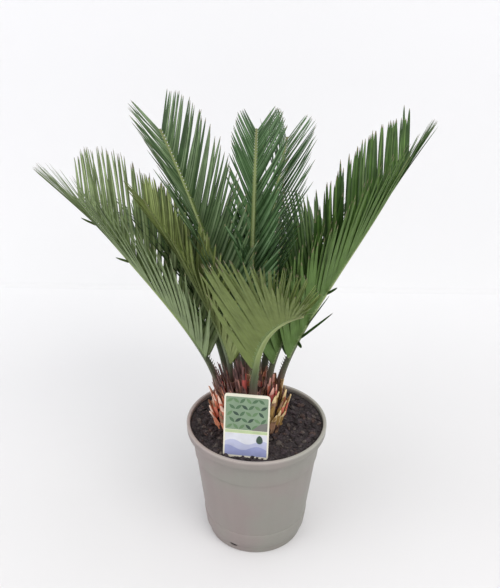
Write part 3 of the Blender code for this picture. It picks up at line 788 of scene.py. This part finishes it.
def map_along(mesh, stations, petiole):
    """UV map whose U goes round the rib and V along it; the spines take their petiole's end."""
    layer = mesh.uv_layers.new(name="Along")
    for polygon in mesh.polygons:
        for loop in polygon.loop_indices:
            vertex = mesh.loops[loop].vertex_index
            if vertex < RIB_SIDES * len(stations):
                layer.data[loop].uv = ((vertex % RIB_SIDES) / RIB_SIDES, stations[vertex // RIB_SIDES])
            else:
                layer.data[loop].uv = (0.5, petiole)


def rib_material():
    """Green of petiole and rib by the place along it: purplish grey foot, grey-green petiole, pale rib."""
    paint = Paint("rib_green", 0.45)
    streaks = paint.noise(900.0)
    colour = paint.scaled(paint.ramp(paint.axes("UV")["Y"], RIB_BANDS), paint.ranged(streaks, 0.78, 1.12))
    return paint.finish(colour, streaks, (0.38, 0.60))


def leaflet_materials(greens):
    """Slots of a frond's leaflets: two upper greens, the darker green of margins and shaded leaflets, which
    is painted shade, the underside, the foot and the tip.
    """
    colours = (*GREENS[greens], *LEAFLET_END_COLOURS)
    return [
        make_material(f"leaf_{greens}_{part}", shades(colour, *tones), scale, *finish)
        for (part, tones, scale, *finish), colour in zip(LEAFLET_FINISHES, colours)
    ]


def build_fronds(ribs):
    """Leaflets and rib of every frond, each in its own space."""
    clearance = Clearance()
    for name, rib in ribs.items():
        for step in range(RIB_CONES):
            near, far = step / RIB_CONES, (step + 1) / RIB_CONES
            clearance.add(name, rib.point(near), rib.point(far), rib.width(near) * 0.5, rib.width(far) * 0.5)
    greens = {}
    ribs_green = rib_material()
    for name, rib in ribs.items():
        if rib.greens not in greens:
            greens[rib.greens] = leaflet_materials(rib.greens)
        build_leaflets(name, rib, clearance, greens[rib.greens])
        build_rib(name, rib, ribs_green)


def caudex_surface(height_share):
    """Radius of the caudex at a share of its height."""
    for low, high in zip(CAUDEX_PROFILE, CAUDEX_PROFILE[1:]):
        if height_share <= high[0]:
            part = (height_share - low[0]) / (high[0] - low[0])
            return CAUDEX_RADIUS * blend((low[1], high[1]), part)
    return CAUDEX_RADIUS * CAUDEX_PROFILE[-1][1]


def scale_shape(shapes, foot, heading, out, size, curl, slots, blunt=0.0):
    """Bract: keeled on its outer side, hollow on its inner side, with a pointed or a blunt tip.

    size is its length, width and depth, and slots are those of its body and of its tip.
    """
    length, width, depth = size
    across = heading.cross(out).normalized()
    rings = []
    place = Vector(foot)
    previous = 0.0
    for station, pointed, rounded_off in zip(SCALE_STATIONS, SCALE_POINTED, SCALE_BLUNT):
        bend = (heading + out * (curl * station ** SCALE_BEND_POWER)).normalized()
        place = place + bend * (length * (station - previous))
        previous = station
        face = across.cross(bend).normalized()
        if face.dot(out) < 0.0:
            face = -face
        half = width * blend((pointed, rounded_off), blunt) / 2
        thick = depth * (1.0 - SCALE_THINNER * station)
        rings.append([place + across * (half * u) + face * (thick * v) for u, v in SCALE_SECTION])
    shapes.skin(rings, lambda gap, side: slots[gap >= SCALE_TIP_GAP])


def build_caudex(ribs):
    """Swollen trunk: a dark core, leaf bases in a spiral, collars of the fronds and the crown's awls."""
    chance = random.Random(SEED * 7)
    materials = [
        make_material("scale_" + name, (dark, colour, shaded(colour, 1.3)), 170.0, (0.62, 0.85), bump=0.5,
                      bump_scale=520.0, specular=0.25, stretch=(1.0, 1.0, 0.35))
        for name, (colour, dark) in SCALE_COLOURS.items()
    ]
    shapes = Shapes()
    centre = Vector((*PLANT_CENTRE, SOIL_LEVEL))
    relief, fineness = CORE_RELIEF
    rings = []
    for step in range(CORE_STEPS + 1):
        share = step / CORE_STEPS
        radius = caudex_surface(share) - CORE_INSET
        up = Vector((0.0, 0.0, share * CAUDEX_HEIGHT - CORE_SINK))
        ring = []
        for azimuth in around(CORE_SIDES):
            out = level(azimuth)
            place = centre + out * radius + up
            ring.append(place + out * (relief * noise.noise(place * fineness)))
        rings.append(ring)
    shapes.skin(rings, SCALE_SLOT["core"])
    add_leaf_bases(shapes, ribs, chance)
    add_collars(shapes, ribs, chance)
    add_awls(shapes, ribs, chance)
    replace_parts(shapes.make("caudex_scales", materials, "caudex_scales", 44.0), "caudex")


def scale_slots(degrees, share, chance):
    """Colours of a leaf base by the side it stands on: salmon left, tan right, crimson high in front."""
    if share > HIGH_SHARE:
        bodies, tips = ("crimson", "crimson", "mauve", "brick", "brown"), ("mauve", "dusk", "salmon")
    elif LEFT_SIDE[0] < degrees < LEFT_SIDE[1]:
        bodies, tips = ("orange", "salmon", "brick", "orange"), ("pink", "salmon", "pink", "brown")
    elif degrees < RIGHT_SIDE[0] or degrees > RIGHT_SIDE[1]:
        bodies, tips = ("ochre", "brown", "brick", "ochre"), ("tan", "ochre", "brown", "tan")
    else:
        bodies, tips = ("brown", "brick", "orange", "ochre"), ("salmon", "mauve", "brown")
    return SCALE_SLOT[chance.choice(bodies)], SCALE_SLOT[chance.choice(tips)]


def add_leaf_bases(shapes, ribs, chance):
    """Bases of shed leaves, broad and upright, in a spiral up the trunk."""
    centre = Vector((*PLANT_CENTRE, SOIL_LEVEL))
    seats = [rib.point(0.0) for rib in ribs.values()]
    lowest, climb, crowding = LEAF_BASE_RISE
    for index in range(LEAF_BASES):
        share = lowest + climb * (index / LEAF_BASES) ** crowding
        azimuth = GOLDEN_ANGLE * index + chance.uniform(-0.07, 0.07)
        out = level(azimuth)
        inset = out * (caudex_surface(share) - chance.uniform(*LEAF_BASE_INWARD))
        foot = centre + inset + Vector((0.0, 0.0, share * CAUDEX_HEIGHT - LEAF_BASE_SINK))
        degrees = math.degrees(azimuth) % 360.0
        outmost = LEAF_BASE_LEANS[not LEFT_LEANING[0] < degrees < LEFT_LEANING[1]]
        heading = leaning(out, outmost * (1.0 - share) + 2.0 + chance.uniform(-5.0, 5.0))
        length = chance.uniform(*LEAF_BASE_LENGTH) * (1.0 - 0.10 * share)
        if min((foot + heading * length - seat).length for seat in seats) < SEAT_ROOM:
            length *= SHORTER_AT_SEAT
        size = (length, chance.uniform(*LEAF_BASE_WIDTH), LEAF_BASE_DEPTH)
        scale_shape(shapes, foot, heading, out, size, chance.uniform(*LEAF_BASE_CURL),
                    scale_slots(degrees, share, chance), chance.uniform(*LEAF_BASE_BLUNT))


def add_collars(shapes, ribs, chance):
    """Swollen foot of each live frond, from inside the trunk to the seat of its petiole."""
    heart = Vector((*PLANT_CENTRE, SOIL_LEVEL + CAUDEX_HEIGHT * COLLAR_HEART))
    wide, high = COLLAR_OVAL
    for rib in ribs.values():
        tangent, side, normal = rib.frame(0.0)
        seat = rib.point(0.0)
        below = seat - tangent * COLLAR_DROP
        root = heart.lerp(below, 0.40)
        path = (
            (root, 1.5), (root.lerp(below, 0.6), 1.55), (below, 1.5),
            (below.lerp(seat, 0.5), 1.22), (seat, 1.02), (seat + tangent * 0.004, 0.94),
        )
        rings = []
        for place, swell in path:
            half = RIB_BASE_WIDTH / 2 * swell
            ring = []
            for angle in around(COLLAR_SIDES):
                ripple = 1.0 + 0.05 * math.sin(5 * angle + swell * 9)
                ring.append(place + side * (half * wide * math.cos(angle) * ripple)
                            + normal * (half * high * math.sin(angle) * ripple))
            rings.append(ring)
        shapes.skin(rings, SCALE_SLOT[chance.choice(("mauve", "brown", "dusk"))])
        degrees = math.degrees(math.atan2(seat.y, seat.x - PLANT_CENTRE[0])) % 360.0
        for index in range(COLLAR_BRACTS):
            angle = math.tau * (index + chance.uniform(-0.2, 0.2)) / COLLAR_BRACTS
            out = (side * math.cos(angle) + normal * math.sin(angle)).normalized()
            foot = below + out * (RIB_BASE_WIDTH / 2 * 1.05) - tangent * 0.004
            lean = math.radians(chance.uniform(2.0, 12.0))
            heading = (tangent * math.cos(lean) + out * math.sin(lean)).normalized()
            size = (chance.uniform(*COLLAR_BRACT_LENGTH), *COLLAR_BRACT_SIZE)
            scale_shape(shapes, foot, heading, out, size, chance.uniform(0.0, 0.2),
                        scale_slots(degrees, chance.choice((0.5, 0.9)), chance))


def add_awls(shapes, ribs, chance):
    """Narrow dark scales of the crown, standing between the petioles, the longest left of its middle."""
    petioles = [rib.point(step / 60) for rib in ribs.values() for step in range(16)]
    for middle, spread, count, lengths in AWL_GROUPS:
        made = 0
        tries = 0
        while made < count and tries < 40 * count:
            tries += 1
            radius = spread * math.sqrt(chance.random())
            azimuth = chance.uniform(0.0, math.tau)
            spot = Vector((middle[0] + radius * math.cos(azimuth), middle[1] + radius * math.sin(azimuth)))
            away = spot - Vector(PLANT_CENTRE)
            if away.length > AWL_REACH:
                continue
            share = away.length / AWL_REACH
            out = Vector((away.x, away.y, 0.0)).normalized()
            height = CAUDEX_HEIGHT * (1.0 - 0.55 * share ** 2)
            foot = Vector((spot.x, spot.y, SOIL_LEVEL + height - AWL_SINK))
            heading = leaning(out, 3.0 + 15.0 * share + chance.uniform(-4.0, 4.0))
            length = chance.uniform(*lengths) * (1.0 - 0.25 * share)
            checked = [foot + heading * (length * part) for part in (0.45, 0.7, 1.0)]
            if min((point - petiole).length for point in checked for petiole in petioles) < AWL_ROOM:
                continue
            made += 1
            body = chance.choice(("crimson", "mauve", "brown", "brown", "dusk"))
            size = (length, chance.uniform(*AWL_WIDTH), AWL_DEPTH)
            slots = (SCALE_SLOT[body], SCALE_SLOT["dusk"])
            scale_shape(shapes, foot, heading, out, size, chance.uniform(-0.04, 0.10), slots)


def wall_radius(height):
    """Outer radius of the plain tapered wall at a height."""
    top = POT_HEIGHT - LIP_HEIGHT
    return POT_BASE_RADIUS + (POT_BODY_TOP_RADIUS - POT_BASE_RADIUS) * height / top


def arc(centre, radius, start, end, steps):
    """Points of a small arc in the profile's plane, in degrees."""
    points = []
    for step in range(steps + 1):
        angle = math.radians(start + (end - start) * step / steps)
        points.append((centre[0] + radius * math.cos(angle), centre[1] + radius * math.sin(angle)))
    return points


def pot_profile():
    """Closed profile of the moulded pot, from the floor's middle up the outside and down the inside."""
    base, top, rim = POT_BASE_RADIUS, POT_BODY_TOP_RADIUS, POT_RIM_RADIUS
    foot, ring, step, lip = FOOT_CHAMFER, FOOT_RING_HEIGHT, UPPER_STEP_HEIGHT, POT_HEIGHT - LIP_HEIGHT
    at_foot, at_ring, at_step = wall_radius(foot), wall_radius(ring), wall_radius(step)
    lip_inner = rim - LIP_BAND
    # underside and its rounded edge, then the foot ring between its two small steps
    points = [(0.0, 0.0), (base - 0.0035, 0.0)]
    points += arc((base - 0.0035, FOOT_ROLL), FOOT_ROLL, -90, -10, 4)
    points += [
        (base - 0.0012, foot - 0.0026), (at_foot + 0.0004, foot - 0.0004), (at_foot + 0.0009, foot + 0.0006),
        (at_ring + 0.0008, ring - 0.0012), (at_ring + 0.0005, ring - 0.0004), (at_ring, ring + 0.0004),
    ]
    # plain wall
    for part in range(1, 6):
        height = ring + (step - ring - 0.004) * part / 6
        points.append((wall_radius(height), height))
    # groove and step, the band above them, and the lip
    points += [
        (wall_radius(step - 0.0030), step - 0.0030), (at_step - 0.0005, step - 0.0022),
        (at_step - 0.0005, step - 0.0008), (at_step + 0.0012, step),
        (wall_radius(0.150) + 0.0010, 0.150), (top + 0.0010, lip - 0.0012),
        (top + 0.0016, lip - 0.0002), (rim - 0.0016, lip),
        (rim - 0.0008, lip + 0.0005), (rim - 0.0005, lip + 0.0016),
    ]
    points += arc((rim - LIP_ROLL, POT_HEIGHT - LIP_ROLL), LIP_ROLL, 0, 90, 5)
    # inside
    points += arc((lip_inner + LIP_ROLL, POT_HEIGHT - LIP_ROLL), LIP_ROLL, 90, 180, 5)
    points += [
        (lip_inner, lip + 0.004), (wall_radius(lip) - POT_WALL, lip - 0.001),
        (wall_radius(0.12) - POT_WALL, 0.12), (at_foot - POT_WALL, foot),
        (at_foot - POT_WALL - 0.003, POT_FLOOR), (0.0, POT_FLOOR),
    ]
    return points


def turned(name, profile, steps):
    """Mesh turned round Z from a profile that starts and ends on the axis."""
    bm = bmesh.new()
    verts = [bm.verts.new((radius, 0.0, height)) for radius, height in profile]
    edges = [bm.edges.new(pair) for pair in zip(verts, verts[1:])]
    bmesh.ops.spin(
        bm, geom=verts + edges, axis=(0, 0, 1), cent=(0, 0, 0), steps=steps, angle=math.tau,
        use_duplicate=False,
    )
    bmesh.ops.remove_doubles(bm, verts=bm.verts, dist=0.00001)
    bmesh.ops.recalc_face_normals(bm, faces=bm.faces)
    return mesh_from(bm, name)


def drain_cutters(collection):
    """Oval cutters of the drain holes, with the solids' places."""
    for index in range(DRAIN_COUNT):
        azimuth = math.radians(DRAIN_FIRST_AZIMUTH + index * 360.0 / DRAIN_COUNT)
        bm = bmesh.new()
        bmesh.ops.create_cone(bm, cap_ends=True, segments=32, radius1=0.5, radius2=0.5, depth=DRAIN_CUT_DEPTH)
        size = Matrix.Diagonal((DRAIN_WIDTH, DRAIN_HEIGHT, 1.0, 1.0))
        upright = Matrix.Rotation(math.pi / 2, 4, "X")
        outwards = Matrix.Rotation(azimuth + math.pi / 2, 4, "Z")
        place = Matrix.Translation((0.0, DRAIN_CUT_INSET - POT_BASE_RADIUS, DRAIN_CENTRE))
        bm.transform(outwards @ place @ upright @ size)
        collection.objects.link(bpy.data.objects.new("drain_cutter", mesh_from(bm, "drain_cutter")))


def build_pot():
    """Moulded pot with rolled lip, steps, foot ring and drain holes."""
    pot = add_piece("pot_shell", turned("pot_shell", pot_profile(), POT_STEPS))
    cutters = bpy.data.collections.new("drain_cutters")
    bpy.context.scene.collection.children.link(cutters)
    drain_cutters(cutters)
    boolean = pot.modifiers.new("drain", "BOOLEAN")
    boolean.operand_type = "COLLECTION"
    boolean.collection = cutters
    boolean.solver = "EXACT"
    bpy.context.view_layer.update()
    depsgraph = bpy.context.evaluated_depsgraph_get()
    cut = bpy.data.meshes.new_from_object(pot.evaluated_get(depsgraph))
    pot.modifiers.clear()
    pot.data = cut
    for cutter in list(cutters.objects):
        bpy.data.objects.remove(cutter, do_unlink=True)
    bpy.data.collections.remove(cutters)
    cut.shade_smooth()
    cut.set_sharp_from_angle(angle=math.radians(POT_SMOOTH_ANGLE))
    cut.materials.clear()
    cut.materials.append(pot_material())
    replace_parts(pot, "pot")


def pot_material():
    """Warm grey recycled plastic: pinkish and greenish drift, flow marks, dust, a painted highlight along the
    lip's top edge and a fine matt grain.
    """
    paint = Paint("pot_plastic", 0.4)
    place = paint.axes("Object")
    drift = paint.maths("MULTIPLY_ADD", place["X"], POT_DRIFT_ACROSS, paint.noise(14.0, 2.0))
    greys = paint.ramp(drift, ((0.36, POT_PINKISH), (0.64, POT_GREENISH)))
    flow = paint.ranged(paint.noise(60.0, 4.0, (1.0, 1.0, 0.08)), 0.93, 1.06)
    # painted highlight: the colour is made up to 1.45 times lighter at the top edge of the lip
    rim = paint.ranged(place["Z"], 1.0, 1.45, POT_HEIGHT - 0.0040, POT_HEIGHT - 0.0008)
    colour = paint.scaled(greys, paint.maths("MULTIPLY", flow, rim))
    dust = paint.noise(900.0, 6.0)
    colour = paint.mixed(paint.ramp(dust, ((0.66, BLACK), (0.74, WHITE))), colour, POT_DUST)
    return paint.finish(colour, dust, (0.42, 0.58), 0.10, 0.0003)


def paint_node(node, material):
    """Give every slot of a CAD node's object this material."""
    for slot in frame["nodes"][node].material_slots:
        slot.material = material


def soil_dish(radius):
    """How far the compost sinks or rises towards the pot's wall."""
    return SOIL_DISH * (radius / SOIL_EDGE) ** 3


def build_soil():
    """Crumbly surface and bark chips on the compost, whose solid stays below."""
    dark = make_material("compost_dark", palette((43, 39, 40), (61, 55, 57), (78, 71, 72)), 420.0,
                         (0.85, 0.98), bump=0.8, bump_scale=900.0, specular=0.2)
    paint_node("compost", dark)
    bm = bmesh.new()
    middle = bm.verts.new((0.0, 0.0, SOIL_LEVEL + SOIL_MIDDLE))
    previous = None
    for ring in range(1, SOIL_RINGS + 1):
        radius = SOIL_EDGE * ring / SOIL_RINGS
        row = []
        for index in range(SOIL_SIDES):
            place = level(math.tau * (index + 0.5 * (ring % 2)) / SOIL_SIDES, radius)
            rough = sum(height * noise.noise(place * fineness) for height, fineness in SOIL_RELIEF)
            rough *= 1.0 - 0.6 * (radius / SOIL_EDGE) ** 12
            up = SOIL_LEVEL + SOIL_RISE + soil_dish(radius) + rough
            row.append(bm.verts.new(place + Vector((0.0, 0.0, up))))
        for index in range(SOIL_SIDES):
            after = (index + 1) % SOIL_SIDES
            if previous is None:
                bm.faces.new((middle, row[index], row[after]))
            else:
                bm.faces.new((previous[index], row[index], row[after], previous[after]))
        previous = row
    skirt = [bm.verts.new((v.co.x, v.co.y, SOIL_LEVEL - SOIL_SKIRT)) for v in previous]
    for index in range(SOIL_SIDES):
        after = (index + 1) % SOIL_SIDES
        bm.faces.new((previous[index], skirt[index], skirt[after], previous[after]))
    bm.faces.new(list(reversed(skirt)))
    bmesh.ops.recalc_face_normals(bm, faces=bm.faces)
    mesh = mesh_from(bm, "compost_crumb")
    mesh.shade_smooth()
    mesh.materials.append(dark)
    add_piece("compost_crumb", mesh)
    add_chips()


def add_chips():
    """Flattened, jagged bark chips and crumbs scattered on the surface."""
    chance = random.Random(SEED * 11)
    shapes = Shapes()
    for _ in range(CHIP_COUNT):
        radius = (SOIL_EDGE - 0.004) * math.sqrt(chance.random())
        azimuth = chance.uniform(0.0, math.tau)
        size = 0.0011 + 0.0044 * chance.random() ** 2.4
        place = level(azimuth, radius)
        if Vector((place.x - PLANT_CENTRE[0], place.y - PLANT_CENTRE[1])).length < CAUDEX_RADIUS * 0.86:
            continue
        place.z = SOIL_LEVEL + CHIP_RISE + soil_dish(radius) + size * 0.12
        tilt = Matrix.Rotation(chance.uniform(0.0, math.tau), 3, "Z")
        for axis in "XY":
            tilt = tilt @ Matrix.Rotation(chance.gauss(0.0, CHIP_TILT), 3, axis)
        wide, thick = size * chance.uniform(0.4, 0.9), size * chance.uniform(0.2, 0.5)
        rings = []
        for height in (-1.0, 0.15, 1.0):
            shrink = chance.uniform(0.55, 0.8) if abs(height) == 1.0 else 1.0
            ring = []
            for angle in around(CHIP_SIDES):
                jag = chance.uniform(0.75, 1.15) * shrink
                corner = (size * jag * math.cos(angle), wide * jag * math.sin(angle), thick * height)
                ring.append(place + tilt @ Vector(corner))
            rings.append(ring)
        shapes.skin(rings, chance.choice(CHIP_SLOTS))
    materials = [
        make_material(name, colours, 500.0, (0.75, 0.95), 0.5, specular=0.25)
        for name, colours in BARKS.items()
    ]
    shapes.make("bark_chips", materials, "compost", 25.0)


def tag_placement():
    """Matrix from the card's frame, with its foot at 0 and Z up the card, to the pot."""
    foot = Vector((*TAG_FOOT, SOIL_LEVEL + TAG_RISE))
    turn = Matrix.Rotation(math.radians(TAG_TURN), 4, "Z")
    lean = Matrix.Rotation(-math.radians(TAG_LEAN), 4, "X")
    return Matrix.Translation(foot) @ turn @ lean


class Print:
    """Flat inks on the card's front, each a thin closed slab a little proud of the one below."""

    def __init__(self):
        self.shapes = Shapes()
        self.matrix = tag_placement()

    def slab(self, outline, layer, slot):
        """A slab with this outline of (across, up) points."""
        front = -(TAG_THICKNESS / 2 + INK_STEP * layer)
        back = -(TAG_THICKNESS / 2 - INK_STEP)
        rings = [[self.matrix @ Vector((x, y, z)) for x, z in outline] for y in (back, front)]
        self.shapes.skin(rings, slot)

    def panel(self, low, high, radius, slot):
        """A rounded panel across the print, between two heights."""
        self.slab(rounded(-PRINT_HALF, low, PRINT_HALF, high, radius), 1, slot)


def rounded(x0, z0, x1, z1, radius, steps=5):
    """Outline of a rounded rectangle."""
    points = []
    for cx, cz, start in (
        (x1 - radius, z0 + radius, -90), (x1 - radius, z1 - radius, 0),
        (x0 + radius, z1 - radius, 90), (x0 + radius, z0 + radius, 180),
    ):
        points += arc((cx, cz), radius, start, start + 90, steps)
    return points


def leaf_outline(x, z, length, width, angle, steps=7):
    """Pointed oval centred at x, z."""
    points = []
    for sign in (1, -1):
        for step in range(steps):
            share = step / steps
            along = (share - 0.5) * sign * length
            across = math.sin(math.pi * share) * width / 2 * sign
            points.append((
                x + along * math.cos(angle) - across * math.sin(angle),
                z + along * math.sin(angle) + across * math.cos(angle),
            ))
    return points


def drop_outline(x, z, radius, steps=20):
    """Drop, round below and drawn out above."""
    points = []
    for angle in around(steps):
        taller = 1.0 if math.sin(angle) < 0 else 1.7 - 0.2 * abs(math.cos(angle))
        points.append((x + radius * math.cos(angle), z + radius * math.sin(angle) * taller))
    return points


def build_tag():
    """Plain card with a generic print: leaf pattern above, pale wash and a drop below."""
    cream = palette((216, 212, 194), (228, 224, 208))
    paint_node("plant_tag", make_material("card_cream", cream, 40.0, (0.30, 0.42)))
    materials = [
        make_material(f"ink_{index}", shades(colour, 0.92, 1.05), 90.0, (0.30, 0.42))
        for index, colour in enumerate(INKS)
    ]
    chance = random.Random(SEED * 13)
    ink = Print()
    half = PRINT_HALF
    ink.panel(0.0386, 0.0828, 0.0015, 0)
    for row in range(PATTERN_ROWS):
        for column in range(PATTERN_COLUMNS):
            x = -half + PATTERN_PLACE[0] + column * PATTERN_PITCH[0] + (row % 2) * PATTERN_SHIFT
            z = PATTERN_PLACE[1] + row * PATTERN_PITCH[1]
            if x > half - 0.004:
                continue
            angle = math.radians(38.0 + 104.0 * ((row + column) % 2) + chance.uniform(-9.0, 9.0))
            slot = chance.choice((1, 2, 3, 1, 2))
            ink.slab(leaf_outline(x, z, *PATTERN_LEAF, angle), 2 + (row + column) % 3, slot)
    right = half - 0.0002
    ink.slab([(half - 0.020, 0.0387), (right, 0.0387), (right, 0.0500), (half - 0.0090, 0.0480)], 5, 4)
    ink.panel(0.0341, 0.0381, 0.0008, 5)
    ink.panel(0.0034, 0.0336, 0.0012, 6)
    for layer, (low, slot) in enumerate(((0.022, 7), (0.014, 8))):
        wave = [
            (-half + 2 * half * k / WAVE_STEPS, low + 0.0030 * math.sin(k * 0.55 + layer))
            for k in range(WAVE_STEPS + 1)
        ]
        ink.slab([(-half, 0.0035), (half, 0.0035)] + wave[::-1], 2 + layer, slot)
    ink.slab(drop_outline(half - 0.0095, 0.0252, 0.0042), 4, 3)
    ink.shapes.make("tag_print", materials, "tag_card", 20.0)


def build_room():
    """Pale floor that turns up into a wall, soft light and the world."""
    profile = [(-FLOOR_HALF, 0.0), (WALL_DISTANCE - WALL_BEND, 0.0)]
    profile += arc((WALL_DISTANCE - WALL_BEND, WALL_BEND), WALL_BEND, -90, 0, 6)[1:]
    profile += [(WALL_DISTANCE, WALL_HEIGHT)]
    bm = bmesh.new()
    rows = [[bm.verts.new((x, y, z)) for y, z in profile] for x in (-FLOOR_HALF, FLOOR_HALF)]
    for index in range(len(profile) - 1):
        bm.faces.new((rows[0][index], rows[1][index], rows[1][index + 1], rows[0][index + 1]))
    mesh = mesh_from(bm, "floor")
    mesh.shade_smooth()
    mesh.materials.append(floor_material())
    into_scene(bpy.data.objects.new("floor", mesh))
    world = bpy.data.worlds.new("soft_world")
    bpy.context.scene.world = world
    world.use_nodes = True
    background = world.node_tree.nodes["Background"]
    background.inputs["Color"].default_value = (*WORLD_COLOUR, 1.0)
    background.inputs["Strength"].default_value = WORLD_STRENGTH
    for name, (place, watts, colour) in LAMPS.items():
        add_area(name, place, watts, colour)


def floor_material():
    """Matt pale sheet with painted shade, darker around the pot and lighter towards the wall, and a painted
    shade along the joint; the wall a little darker higher up; clear from behind for other views.
    """
    paint = Paint("floor_pale", 0.1)
    place = paint.axes("Object")
    near = paint.wandering(shades(SHADED_FLOOR_COLOUR, 1.0, 1.01), 3.0)
    # painted shade: the floor darker in front of and around the pot, lighter towards the wall
    floor = paint.mixed(paint.ranged(place["Y"], 0.0, 1.0, *FLOOR_SHADE_FADE), near, WALL_FOOT_COLOUR)
    wall = paint.mixed(paint.ranged(place["Z"], 0.0, 1.0, 0.0, WALL_FADE), floor, WALL_COLOUR)
    # painted shade: a darker band along the bend between floor and wall
    from_joint = paint.maths("SUBTRACT", place["Z"], place["Y"])
    painted_joint_shade = paint.ranged(from_joint, JOINT_SHADE, 1.0, -WALL_DISTANCE, JOINT_WIDTH - WALL_DISTANCE)
    material = paint.finish(paint.scaled(wall, painted_joint_shade), paint.noise(12.0), (0.75, 0.85))
    behind = paint.add("NewGeometry").outputs["Backfacing"]
    clear = paint.add("BsdfTransparent").outputs["BSDF"]
    either = paint.add("MixShader", {0: behind, 1: paint.shader.outputs["BSDF"], 2: clear})
    paint.feed(paint.nodes["Material Output"], "Surface", either.outputs["Shader"])
    return material


def add_area(name, place, watts, colour):
    """Soft area light aimed at the plant."""
    light = bpy.data.lights.new(name, "AREA")
    light.size = LAMP_SIZE
    light.energy = watts
    light.color = colour
    lamp = into_scene(bpy.data.objects.new(name, light))
    lamp.location = place
    lamp.rotation_mode = "QUATERNION"
    lamp.rotation_quaternion = (Vector(LAMP_AIM) - Vector(place)).to_track_quat("-Z", "Y")
    lamp.visible_camera = False


def build_camera():
    """Camera at the photograph's place and angle, with its picture enlarged about the middle."""
    data = bpy.data.cameras.new("camera")
    data.sensor_width = SENSOR
    data.lens = SENSOR * PHOTO_FOCAL * ENLARGED / FRAME_HEIGHT
    data.clip_start, data.clip_end = CAMERA_CLIP
    camera = into_scene(bpy.data.objects.new("camera", data))
    camera.location = CAMERA_PLACE
    pitch, yaw = math.radians(CAMERA_PITCH), math.radians(CAMERA_YAW)
    forward = Vector((math.sin(yaw) * math.cos(pitch), math.cos(yaw) * math.cos(pitch), -math.sin(pitch)))
    aim = forward.to_track_quat("-Z", "Y").to_matrix()
    camera.rotation_mode = "QUATERNION"
    camera.rotation_quaternion = (aim @ Matrix.Rotation(math.radians(CAMERA_ROLL), 3, "Z")).to_quaternion()
    bpy.context.scene.camera = camera


def main():
    build_camera()
    build_room()
    ribs = {name: Rib(values) for name, values in FRONDS.items()}
    build_fronds(ribs)
    build_caudex(ribs)
    build_pot()
    build_soil()
    build_tag()
    view = bpy.context.scene.view_settings
    view.view_transform = "Standard"
    view.look = "None"


main()
